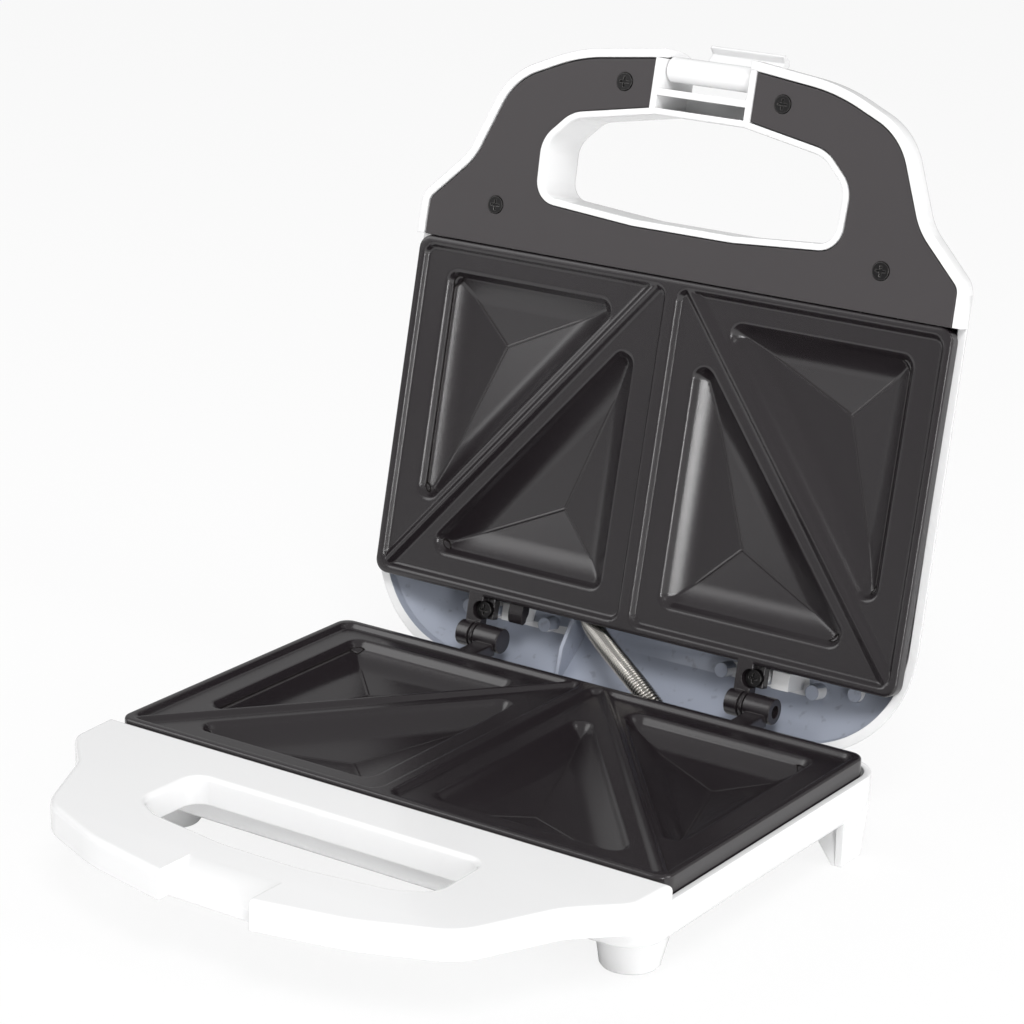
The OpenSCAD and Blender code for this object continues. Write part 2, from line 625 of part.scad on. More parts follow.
module lid_plate() {
    color("dimgray") opened() difference() {
        union() {
            as_lid() plate(lid_skirt_h);
            for (s = [-1, 1]) {
                hinge_x_at(s) {
                    lug(knuckle_x0 + 0.4, knuckle_x0 + knuckle_w - 0.3, rim_z, 5);
                    box([-6, plate_d - 1, 4], [0, plate_d + 8, 7.6]);
                    rod_x(knuckle_x0, knuckle_x0 + knuckle_w, hinge_y, 0, barrel_r);
                }
                box([s * 77.5 - 6, -19, cover_z + cover_t + 0.2], [s * 77.5 + 6, 1, cover_z + cover_t + 3]);
            }
            box([-48, plate_d - 1, 2], [-42, plate_d + 7, 6]);
        }
        for (s = [-1, 1]) {
            hinge_x_at(s) {
                rod_x(knuckle_x0 - 1, knuckle_x0 + knuckle_w + 1, hinge_y, 0, pin_r);
                post([-3, plate_d + 4.8], -1, 9, 1.7);
                post([-3, plate_d + 4.8], -1, 4.6, 3.3);
            }
            post([s * 77.5, -14.6], 0, 8, 1.7);
        }
    }
}
module hinge_pins() {
    color("silver") opened() for (s = [-1, 1]) hinge_x_at(s)
        rod_x(knuckle_x0, barrel_x0 + barrel_w - 3, hinge_y, 0, pin_r);
}
module hinge_screws() {
    color("black") opened() for (s = [-1, 1])
        translate([s * hinge_x - 3, plate_d + 4.8, 2.6]) screw(2.9, 1.9, 1.35, 10);
}

// Lid fittings
module lid_element() {
    color("slategray") opened() as_lid() element([[0.4, 0.4, rod_z - 1.5], [0.5, 0.5, -skirt_h - 4.6]]);
}
module lid_clamps() {
    color("silver") opened() as_lid() clamps();
}
module lid_clamp_screws() {
    color("gray") opened() as_lid() clamp_screws();
}
module lid_reflector() {
    color("lightgray") opened() as_lid() reflector(true);
}
module lid_reflector_screws() {
    color("gray") opened() for (q = posts)
        translate([q[0], q[1], rim_z - sheet_z + sheet_t + 1.6]) mirror([0, 0, 1]) screw(2.6, 1.6, 1.25, 6);
}
module thermostat() {
    color("linen") opened() {
        post([0, 105], rim_z - land_z + seat, rim_z - sheet_z - 0.2, 6.4);
        for (s = [-1, 1])
            box([s * 3 - 1.6, 104.6, rim_z - sheet_z - 0.5], [s * 3 + 1.6, 105.4, rim_z - sheet_z + 7]);
    }
}
fuse_z = rim_z - sheet_z + sheet_t + 2.6;
module thermal_fuse() {
    color("silver") opened() {
        rod_x(22, 34, 62, fuse_z, 2);
        rod_x(16, 40, 62, fuse_z, 0.5);
    }
}
module fuse_clip() {
    color("gray") opened() difference() {
        union() {
            rod_x(25, 31, 62, fuse_z, 2.6);
            box([25, 56, fuse_z - 2.6], [31, 68, fuse_z - 1.6]);
        }
        rod_x(24, 32, 62, fuse_z, 2.1);
    }
}
module lamp_holder() {
    color("white") opened() difference() {
        box([-29, 28, dome_h - 8], [29, 40, dome_h - 5]);
        for (s = [-1, 1]) {
            post([s * 24, 34], dome_h - 9, dome_h, 1.5);
            post([s * 11, 34], dome_h - 9, dome_h, 2.7);
        }
    }
}
module neon_lamps() {
    color("orange") opened() for (s = [-1, 1]) {
        post([s * 11, 34], dome_h - 14, dome_h - 4.6, 2.5);
        translate([s * 11, 34, dome_h - 4.6]) scale([1, 1, 0.8]) sphere(r = 2.5);
    }
}
module lens(s) {
    difference() {
        union() {
            post([s * 11, 34], dome_h - 4.9, dome_h - 3.8, lens_r + 1);
            post([s * 11, 34], dome_h - 4.9, dome_h + 0.6, lens_r);
        }
        post([s * 11, 34], dome_h - 6, dome_h - 1, 2.8);
    }
}
module power_lens() {
    color("red") opened() lens(-1);
}
module ready_lens() {
    color("green") opened() lens(1);
}
module wire(p, r = 0.8) {
    sweep(rounded(p, 4), r, up = [0.31, 0.11, 0.945], n = 8);
}
module lid_wires() {
    e = rim_z - sheet_z + 6;             // end of the thermostat's tabs
    color("linen") opened() {
        wire([[-21.2, 125.7, 12.5], [-21.7, 124, 18.7], [-20, 117, 18.4], [-6, 111, 21], [-3, 106.25, e]]);
        wire([[3, 106.3, e], [3.4, 106.5, e + 3.2], [9, 96, 23], [7.9, 62, fuse_z], [15.95, 62, fuse_z]]);
        wire([[40.05, 62, fuse_z], [48.2, 62, fuse_z], [84, 98, 18], [95.6, 110.6, 17.6],
              [96.33, 111.27, 16.7]]);
        wire([[-22.4, 125.6, 12.5], [-22.4, 124.1, 18.7], [-23.5, 116.5, 18.4], [-60, 108, 18.6],
              [-86, 106, 18.4], [-95.6, 110.6, 17.6], [-96.33, 111.27, 16.7]]);
        wire([[-22.2, 125, 12.5], [-22.2, 123.5, 18.9], [-23, 116, 19.6], [-34, 100, 22], [-20, 60, 24],
              [-11, 36.5, dome_h - 17], [-11, 34.4, dome_h - 14.85]]);
        wire([[11, 34.4, dome_h - 14.85], [11, 36.5, dome_h - 17], [0, 40, 20.5], [-11, 38, dome_h - 17]]);
    }
}

// Base fittings
module base_screws() {
    color("gray") placed() for (q = posts)
        translate([q[0], plate_d - q[1], tub_low + 1]) screw(3.2, 1.6, 1.25, 10);
}
module base_element() {
    color("slategray") placed() as_base()
        element([[2, 1, rod_z - 2], [2.5, 3, -skirt_h - 1.1], [2.5, 17, -skirt_h - 1.1]]);
}
module base_clamps() {
    color("silver") placed() as_base() clamps();
}
module base_clamp_screws() {
    color("gray") placed() as_base() clamp_screws();
}
module base_reflector() {
    color("lightgray") placed() as_base() reflector(false);
}
module terminal_block() {
    color("beige") placed() difference() {
        union() {
            box([-60, -11.5, floor_z], [-16, -3.5, floor_z + 3]);
            for (i = [0:3]) box([-58 + 11 * i, -11, floor_z + 2], [-51 + 11 * i, -4, floor_z + 10]);
        }
        for (i = [0:3]) {
            post([-54.5 + 11 * i, -7.5], floor_z + 4, floor_z + 11, 2);
            translate([-54.5 + 11 * i, -2, floor_z + 5.4]) rotate([90, 0, 0]) cylinder(h = 12, r = 1.5);
        }
    }
}
module terminal_screws() {
    color("gold") placed() for (i = [0:3])
        translate([-54.5 + 11 * i, -7.5, floor_z + 10.2]) mirror([0, 0, 1]) screw(1.8, 1.4, 1.2, 2.2);
}
module base_wires() {
    y = -4.8;
    z = floor_z + 5.2;
    w = floor_z + 1.4;
    x = conduit_x - 1;
    p = -rim_z - skirt_h - 1.1;
    front = tub_front + wall + 1.3;
    color("linen") placed() {
        for (i = [0:1]) {
            c = -54.5 + 11 * i;
            wire([[-35 + 2 * i, plate_d - 16, floor_z + 1.9], [-36 + 2 * i, plate_d - 24, w],
                  [-52 + 13 * i, 20, w], [c, 4, w], [c, y, z]], 0.7);
        }
        for (i = [0:1]) {
            c = -32.5 + 11 * i;
            wire([[x + 2 * i, plate_d + 4.6, side_z - 0.5], [x + 2 * i, plate_d + 1, w], [12 + 3 * i, 100, w],
                  [12 + 3 * i, 36, w], [-24 + 8 * i, 14, w], [c, 4, w], [c, y, z]], 0.7);
        }
        for (s = [-1, 1]) {
            c = s < 0 ? -54.5 : -21.5;
            wire([[s * (rod_end[0] + 2.5), -5.6, p], [s * 90, -8.5, -13], [s < 0 ? -70 : 60, front, z + 0.2],
                  [c, front, z + 0.2], [c, -8.2, z + 0.2]], 0.7);
        }
    }
}
module cord_bush() {
    color("white") placed() difference() {
        union() {
            post([-34, plate_d - 16], tub_low, floor_z + 0.1, cord_r + 1.9);
            post([-34, plate_d - 16], tub_low - 2.4, tub_low, cord_r + 3.2);
            post([-34, plate_d - 16], floor_z, floor_z + 0.5, cord_r + 2.8);
        }
        post([-34, plate_d - 16], tub_low - 3, floor_z + 2, cord_r);
    }
}

// Conduit: a close-wound spring between the lid's rear hollow and the base's rear shelf
conduit_ends = [[-22, hinge_y + 18.4, 9.6], [-19.4, hinge_y + 8.4, 10.7],
                [conduit_x - 5.1, plate_d - 0.7, 4.4], [conduit_x, plate_d + 4.6, side_z - 0.6]];
conduit_path = [for (k = [0:14]) let (t = k / 14, q = 1 - t)
    q * q * q * conduit_ends[0] + 3 * t * q * q * conduit_ends[1]
    + 3 * t * t * q * conduit_ends[2] + t * t * t * conduit_ends[3]];
module spring_conduit() {
    color("silver") placed() difference() {
        sweep(conduit_path, conduit_r, up = [0.8, 0.5, 0.1], n = 16);
        sweep(concat([2 * conduit_path[0] - conduit_path[1]], conduit_path,
                     [2 * conduit_path[14] - conduit_path[13]]),
              conduit_r - 0.9, up = [0.8, 0.5, 0.1], n = 16);
    }
}

base_casing();
base_plate();
base_element();
base_clamps();
base_clamp_screws();
base_reflector();
base_screws();
terminal_block();
terminal_screws();
base_wires();
cord_bush();
lid_casing();
lid_plate();
handle_cover();
cover_screws();
hinge_screws();
hinge_pins();
lid_element();
lid_clamps();
lid_clamp_screws();
lid_reflector();
lid_reflector_screws();
thermostat();
thermal_fuse();
fuse_clip();
lamp_holder();
neon_lamps();
power_lens();
ready_lens();
lid_wires();
spring_conduit();
latch_clip();
latch_pin();
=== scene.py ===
import json
import math

import bmesh
import bpy
import numpy as np
from mathutils import Matrix, Vector


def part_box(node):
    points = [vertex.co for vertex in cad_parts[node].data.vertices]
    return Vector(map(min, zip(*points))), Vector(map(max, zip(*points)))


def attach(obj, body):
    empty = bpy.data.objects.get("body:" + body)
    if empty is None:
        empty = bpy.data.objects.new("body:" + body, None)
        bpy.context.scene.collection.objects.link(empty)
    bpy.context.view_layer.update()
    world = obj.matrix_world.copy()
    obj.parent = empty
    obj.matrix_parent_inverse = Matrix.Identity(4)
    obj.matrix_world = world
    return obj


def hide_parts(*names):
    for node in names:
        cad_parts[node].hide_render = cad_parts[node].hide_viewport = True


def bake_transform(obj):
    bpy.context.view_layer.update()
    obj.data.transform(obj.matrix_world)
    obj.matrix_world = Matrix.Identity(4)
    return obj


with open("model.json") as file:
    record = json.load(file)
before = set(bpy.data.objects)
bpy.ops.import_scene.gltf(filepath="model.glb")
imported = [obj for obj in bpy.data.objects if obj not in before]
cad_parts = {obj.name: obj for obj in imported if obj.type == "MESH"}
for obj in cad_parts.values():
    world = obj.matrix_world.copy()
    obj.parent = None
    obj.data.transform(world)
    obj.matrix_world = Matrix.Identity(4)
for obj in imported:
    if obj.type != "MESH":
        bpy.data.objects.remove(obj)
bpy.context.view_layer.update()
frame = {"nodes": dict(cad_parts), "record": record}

# Camera: stands to the front right of the toaster, a little above it, with a long lens.
# Its place was fitted to the corners of both plates; angles are in degrees, the place in metres.
camera_place = Vector((0.5701, -0.8292, 0.4367))
camera_turn = math.radians(34.26)
camera_drop = math.radians(17.87)
camera_roll = math.radians(1.32)
camera_focal_px = 3268
image_px = 1024
camera_data = bpy.data.cameras.new("camera")
camera_data.sensor_fit = "HORIZONTAL"
camera_data.sensor_width = 36
camera_data.lens = camera_focal_px / image_px * camera_data.sensor_width
camera_data.clip_start = 0.05
camera = bpy.data.objects.new("camera", camera_data)
bpy.context.scene.collection.objects.link(camera)
back = Vector((math.sin(camera_turn) * math.cos(camera_drop),
               -math.cos(camera_turn) * math.cos(camera_drop), math.sin(camera_drop)))
sideways = Vector((math.cos(camera_turn), math.sin(camera_turn), 0))
rise = back.cross(sideways)
side = sideways * math.cos(camera_roll) + rise * math.sin(camera_roll)
top = rise * math.cos(camera_roll) - sideways * math.sin(camera_roll)
camera.matrix_world = Matrix((
    (side.x, top.x, back.x, camera_place.x),
    (side.y, top.y, back.y, camera_place.y),
    (side.z, top.z, back.z, camera_place.z),
    (0, 0, 0, 1)))
bpy.context.scene.camera = camera
bpy.context.scene.view_settings.view_transform = "Standard"

# Base casing: one moulding of glossy white plastic, a shallow tub on four feet with a looped
# handle bar in front. It is drawn in millimetres from the middle of the plates' front edge, and
# s is -1 on the left and 1 on the right.
hinge_place = frame["record"]["behaviour"]["joints"][0]["pos_m"]
plate_low, plate_high = (np.array(corner) * 1000 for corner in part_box("base_plate"))
plate_w = plate_high[0] - plate_low[0]
front_y = plate_low[1]
parting_h = hinge_place[2] * 1000
hinge_y = hinge_place[1] * 1000 - front_y
plate_d = hinge_y - 13.8
lid_open = math.radians(frame["record"]["behaviour"]["joints"][0]["range_deg"][1])
wall = 2.4
side_x = 110.3
bar_top = -1.0
bar_low = -11.0
side_z = -6.5
tub_low = -20.5
floor_z = tub_low + wall
tub_rear = plate_d + 8.2
base_reach = 86.0
latch_half = 17.6
conduit_x = 24.4
conduit_r = 3.6
# corners to the right of the middle, front to rear: x, y, radius, pieces
bar_corners = [(16, -base_reach, 60, 8), (50, -78.8, 60, 8), (side_x - 31, -66.4, 20, 14),
               (side_x - 16.1, -35.2, 22, 14), (side_x - 0.8, -19.6, 8, 12), (side_x + 0.3, -0.4, 0.6, 3)]
tub_corners = [(side_x, -16, 14, 16), (side_x, tub_rear, 13, 20)]
slot_corners = [(15, -57.6, 50, 5), (46, -53, 16, 8), (57, -46.5, 8, 12), (56.5, -21, 6, 12)]


def both_sides(corners):
    return list(corners) + [(-x, y, r, n) for x, y, r, n in reversed(corners)]


def unit(v):
    return v / np.linalg.norm(v)


def outline(corners, inset=0.0):
    """Points round an outline with rounded corners, anticlockwise, moved inwards by inset."""
    points = []
    count = len(corners)
    for i, (x, y, radius, pieces) in enumerate(corners):
        here = np.array((x, y), float)
        before = np.array(corners[i - 1][:2], float)
        after = np.array(corners[(i + 1) % count][:2], float)
        turning = (here - before)[0] * (after - here)[1] - (here - before)[1] * (after - here)[0]
        turn_sign = 1.0 if turning >= 0 else -1.0
        u, v = unit(before - here), unit(after - here)
        half = math.acos(max(-1.0, min(1.0, float(u @ v)))) / 2
        r = max(radius - turn_sign * inset, 0.5)
        middle = here + unit(u + v) * (turn_sign * inset + r) / math.sin(half)
        start = math.atan2(turn_sign * u[0], -turn_sign * u[1])
        sweep = turn_sign * (math.pi - 2 * half)
        for k in range(pieces + 1):
            angle = start + sweep * k / pieces
            points.append(middle + r * np.array((math.cos(angle), math.sin(angle))))
    return np.array(points)


def at_height(points, z):
    return np.column_stack((points, np.full(len(points), float(z))))


def loft(rings):
    """A closed skin through rings with the same number of points, lowest or innermost first."""
    m = len(rings[0])
    faces = [tuple(reversed(range(m)))]
    for i in range(len(rings) - 1):
        for j in range(m):
            k = (j + 1) % m
            faces.append((i * m + j, i * m + k, (i + 1) * m + k, (i + 1) * m + j))
    faces.append(tuple((len(rings) - 1) * m + j for j in range(m)))
    return np.vstack(rings), faces


def stacked(corners, steps):
    """A skin through one outline at steps of inset and height."""
    return loft([at_height(outline(corners, inset), z) for inset, z in steps])


def block(low, high):
    (x0, y0, z0), (x1, y1, z1) = low, high
    base = np.array(((x0, y0), (x1, y0), (x1, y1), (x0, y1)))
    return loft([at_height(base, z0), at_height(base, z1)])


def circle(pieces):
    """Points evenly round a circle of radius 1, anticlockwise."""
    angles = np.arange(pieces) * 2 * math.pi / pieces
    return np.column_stack((np.cos(angles), np.sin(angles)))


def round_post(x, y, z0, z1, radius):
    return loft([at_height(circle(48) * radius + (x, y), z) for z in (z0, z1)])


def across_x(profile, x0, x1):
    """A prism along X whose section is the anticlockwise outline profile in Y and Z."""
    return loft([np.array([(x, y, z) for y, z in profile]) for x in (x0, x1)])


def rod_x(x0, x1, y, z, radius):
    return across_x(circle(48) * radius + (y, z), x0, x1)


def to_world(points, turned):
    """From the drawing's millimetres to metres; what belongs to the lid is turned open."""
    p = np.array(points, float)
    if turned:
        y = p[:, 1] - hinge_y
        z = p[:, 2].copy()
        cosine, sine = math.cos(-lid_open), math.sin(-lid_open)
        p[:, 1] = hinge_y + y * cosine - z * sine
        p[:, 2] = y * sine + z * cosine
    return (p + (0, front_y, parting_h)) / 1000


def solid(name, skin, turned=False):
    """A mesh object from points and faces."""
    mesh = bpy.data.meshes.new(name)
    mesh.from_pydata([tuple(p) for p in to_world(skin[0], turned)], [], skin[1])
    mesh.validate()
    mesh.update()
    piece = bpy.data.objects.new(name, mesh)
    bpy.context.scene.collection.objects.link(piece)
    return piece


def carve(piece, operation, skins, turned=False):
    """Adds skins to a piece or cuts them out of it, one after the other."""
    for skin in skins:
        tool = solid("tool", skin, turned)
        step = piece.modifiers.new("step", "BOOLEAN")
        step.operation = operation
        step.solver = "MANIFOLD"
        step.object = tool
        bpy.context.view_layer.update()
        result = bpy.data.meshes.new_from_object(piece.evaluated_get(bpy.context.evaluated_depsgraph_get()))
        piece.modifiers.clear()
        spent = piece.data
        piece.data = result
        bpy.data.meshes.remove(spent)
        bpy.data.meshes.remove(tool.data)
    return piece


def smooth(piece, angle=32):
    """Soft shading over the rounded stretches, with true edges kept sharp and flats kept flat."""
    piece.data.name = piece.name
    piece.data.shade_smooth()
    piece.data.set_sharp_from_angle(angle=math.radians(angle))
    flats = piece.modifiers.new("flats", "WEIGHTED_NORMAL")
    flats.keep_sharp = True
    return piece


bar = both_sides(bar_corners)
tub = both_sides(tub_corners)
slot = both_sides(slot_corners)
base_casing = solid("base_casing_skin", stacked(tub, [
    (5.2, tub_low), (3.6, tub_low + 0.2), (2.2, tub_low + 0.8), (0.9, tub_low + 2.1), (0.25, tub_low + 3.8),
    (0, tub_low + 6), (0, side_z - 0.4), (0.15, side_z), (0.5, side_z + 0.12), (wall - 0.3, side_z + 0.12),
    (wall, side_z), (wall, floor_z + 2), (wall + 1, floor_z + 0.5), (wall + 3, floor_z)]))
bar_shell = stacked(bar, [
    (wall + 0.8, bar_top - wall), (wall, bar_top - wall - 0.8), (wall, bar_low + 0.2), (wall - 0.3, bar_low),
    (0.5, bar_low), (0.15, bar_low + 0.2), (0, bar_low + 0.7), (0, bar_top - 2), (0.15, bar_top - 1.25),
    (0.55, bar_top - 0.6), (1.1, bar_top - 0.2), (1.9, bar_top)])
slot_wall = stacked(slot, [(-wall, bar_low + 0.01), (-wall, bar_top - 1)])
notch_half = latch_half - 0.2
notch_wall = block((-latch_half - wall, -base_reach + wall, bar_low + 0.02),
                   (latch_half + wall, -base_reach + 14, bar_top - 1.5))
cross_wall_x = side_x - 14
front_wall = block((-cross_wall_x, -15.8, -12), (cross_wall_x, -13.8, -2.5))
rear_shelf = block((-cross_wall_x, plate_d + 0.4, side_z - wall - 0.1),
                   (cross_wall_x, tub_rear - 1, side_z - 0.1))

# the front feet taper downwards and lean inwards: radius and height, then the place of their middle
foot_profile = [(8.4, -parting_h), (9.1, -parting_h + 0.25), (9.6, -parting_h + 0.9), (10.4, -parting_h + 5),
                (11.6, tub_low - 4), (12.7, tub_low - 1), (14, tub_low + 1.4)]
foot_x, foot_y, foot_lean = 91, 8, 0.06
feet = []
for s in (-1, 1):
    feet.append(loft([at_height(circle(72) * r + (s * (foot_x + foot_lean * (z + parting_h)), foot_y), z)
                      for r, z in foot_profile]))

# the rear legs are flat blades in line with the tub's sides, each with a web across its front
leg_front, leg_rear, leg_t = 110, 123, 2.4
leg_foot_x, leg_top_x = 105.2, 107.2
leg_low = np.array([(leg_foot_x, leg_front), (leg_foot_x + leg_t, leg_front), (leg_foot_x + leg_t, leg_rear),
                    (leg_foot_x, leg_rear)])
leg_high = np.array([(leg_top_x, leg_front - 4), (side_x - 0.3, leg_front - 4), (side_x - 0.3, leg_rear),
                     (leg_top_x, leg_rear)])
web = [(104, -parting_h), (106.5, -parting_h), (108.5, tub_low + 3), (92, tub_low + 1)]
legs = []
for s in (-1, 1):
    legs.append(loft([at_height((leg_low * (s, 1))[::s], -parting_h),
                      at_height((leg_high * (s, 1))[::s], tub_low + 5)]))
    web_ends = (leg_front + leg_t, leg_front)[::s]
    legs.append(loft([np.array([(s * x, y, z) for x, z in web]) for y in web_ends]))

# screw posts, by x and by their distance from the plate's rear edge, and ribs behind the tub
posts = [(0, 40), (0, 84), (-plate_w / 2 + 12, 8.5), (plate_w / 2 - 12, 8.5)]
post_top = -15.3
post_r, head_recess_r, post_bore_r = 4.6, 3.6, 1.8
rib_x = 74
rear_ribs = [block((s * rib_x - 1.5, tub_rear - 1, post_top + 0.1), (s * rib_x + 1.5, hinge_y + 2.4, -10.6))
             for s in (-1, 1)]
base_posts = [round_post(x, plate_d - y, tub_low + 1, post_top, post_r) for x, y in posts]
carve(base_casing, "UNION", [bar_shell, slot_wall, notch_wall, front_wall, rear_shelf] + base_posts + feet
      + legs + rear_ribs)
notch = [(-base_reach - 2, bar_low - 1), (-base_reach + 5.5, bar_low - 1), (-base_reach + 5.5, bar_top - 6.5),
         (-base_reach + 16, bar_top), (-base_reach + 16, bar_top + 2), (-base_reach - 2, bar_top + 2)]
slot_cut = stacked(slot, [
    (-1, bar_low - 1), (-0.9, bar_low), (-0.25, bar_low + 0.3), (0, bar_low + 1), (0, bar_top - 1.8),
    (-0.2, bar_top - 0.9), (-0.7, bar_top - 0.35), (-1.6, bar_top + 0.02), (-2.4, bar_top + 1)])
inlet_x, inlet_y, inlet_r = -34, plate_d - 16, 5.4
carve(base_casing, "DIFFERENCE", [
    slot_cut,
    across_x(notch, -notch_half, notch_half),
    round_post(inlet_x, inlet_y, tub_low - 1, floor_z + 1, inlet_r),
    round_post(conduit_x - 0.8, plate_d + 4.6, side_z - wall - 1, side_z + 1, conduit_r + 1)]
    + [round_post(x, plate_d - y, tub_low - 1, tub_low + 2.6, head_recess_r) for x, y in posts]
    + [round_post(x, plate_d - y, tub_low, 0, post_bore_r) for x, y in posts])
smooth(base_casing)
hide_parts("base_casing")
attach(base_casing, "base")


def new_group(name, inputs, outputs):
    """An empty shader node group with named value and colour sockets."""
    group = bpy.data.node_groups.new(name, "ShaderNodeTree")
    for label, kind, value in inputs:
        made = group.interface.new_socket(label, in_out="INPUT", socket_type="NodeSocket" + kind)
        if value is not None:
            made.default_value = value
    for label, kind in outputs:
        group.interface.new_socket(label, in_out="OUTPUT", socket_type="NodeSocket" + kind)
    return group, group.nodes.new("NodeGroupInput"), group.nodes.new("NodeGroupOutput")


# the moulded or cast surface: a fine grain, slow waves and a slow change of tone
grain, grain_in, grain_out = new_group("moulded_grain",
    [("Fineness", "Float", 900.0), ("Wave", "Float", 60.0), ("Share", "Float", 0.5)],
    [("Height", "Float"), ("Tone", "Float"), ("Speck", "Float")])
place = grain.nodes.new("ShaderNodeTexCoord")
fine_noise = grain.nodes.new("ShaderNodeTexNoise")
fine_noise.inputs["Detail"].default_value = 3
slow_noise = grain.nodes.new("ShaderNodeTexNoise")
slow_noise.inputs["Detail"].default_value = 2
tone_noise = grain.nodes.new("ShaderNodeTexNoise")
tone_noise.inputs["Scale"].default_value = 14
tone_noise.inputs["Detail"].default_value = 4
mixed = grain.nodes.new("ShaderNodeMix")
grain.links.new(place.outputs["Object"], fine_noise.inputs["Vector"])
grain.links.new(place.outputs["Object"], slow_noise.inputs["Vector"])
grain.links.new(place.outputs["Object"], tone_noise.inputs["Vector"])
grain.links.new(grain_in.outputs["Fineness"], fine_noise.inputs["Scale"])
grain.links.new(grain_in.outputs["Wave"], slow_noise.inputs["Scale"])
grain.links.new(grain_in.outputs["Share"], mixed.inputs["Factor"])
grain.links.new(slow_noise.outputs["Fac"], mixed.inputs["A"])
grain.links.new(fine_noise.outputs["Fac"], mixed.inputs["B"])
grain.links.new(mixed.outputs["Result"], grain_out.inputs["Height"])
grain.links.new(tone_noise.outputs["Fac"], grain_out.inputs["Tone"])
grain.links.new(fine_noise.outputs["Fac"], grain_out.inputs["Speck"])

# a mask that is one on edges and zero on flats; on most finishes it lays on wear where handling rubs a
# surface, and on the black screws a painted highlight
wear_and_highlight, wear_and_highlight_in, wear_and_highlight_out = new_group("edge_wear_and_highlight",
    [("Width", "Float", 0.0006), ("Patch", "Float", 120.0)],
    [("Mask", "Float"), ("Normal", "Vector")])
rounded = wear_and_highlight.nodes.new("ShaderNodeBevel")
rounded.samples = 6
flat = wear_and_highlight.nodes.new("ShaderNodeNewGeometry")
same = wear_and_highlight.nodes.new("ShaderNodeVectorMath")
same.operation = "DOT_PRODUCT"
spread = wear_and_highlight.nodes.new("ShaderNodeMapRange")
spread.inputs["From Min"].default_value = 0.995
spread.inputs["From Max"].default_value = 0.86
patches = wear_and_highlight.nodes.new("ShaderNodeTexNoise")
patches.inputs["Detail"].default_value = 4
wear_and_highlight_place = wear_and_highlight.nodes.new("ShaderNodeTexCoord")
broken = wear_and_highlight.nodes.new("ShaderNodeMath")
broken.operation = "MULTIPLY"
wear_and_highlight.links.new(wear_and_highlight_in.outputs["Width"], rounded.inputs["Radius"])
wear_and_highlight.links.new(rounded.outputs["Normal"], same.inputs[0])
wear_and_highlight.links.new(flat.outputs["Normal"], same.inputs[1])
wear_and_highlight.links.new(same.outputs["Value"], spread.inputs["Value"])
wear_and_highlight.links.new(wear_and_highlight_place.outputs["Object"], patches.inputs["Vector"])
wear_and_highlight.links.new(wear_and_highlight_in.outputs["Patch"], patches.inputs["Scale"])
wear_and_highlight.links.new(spread.outputs["Result"], broken.inputs[0])
wear_and_highlight.links.new(patches.outputs["Fac"], broken.inputs[1])
wear_and_highlight.links.new(broken.outputs["Value"], wear_and_highlight_out.inputs["Mask"])
wear_and_highlight.links.new(rounded.outputs["Normal"], wear_and_highlight_out.inputs["Normal"])


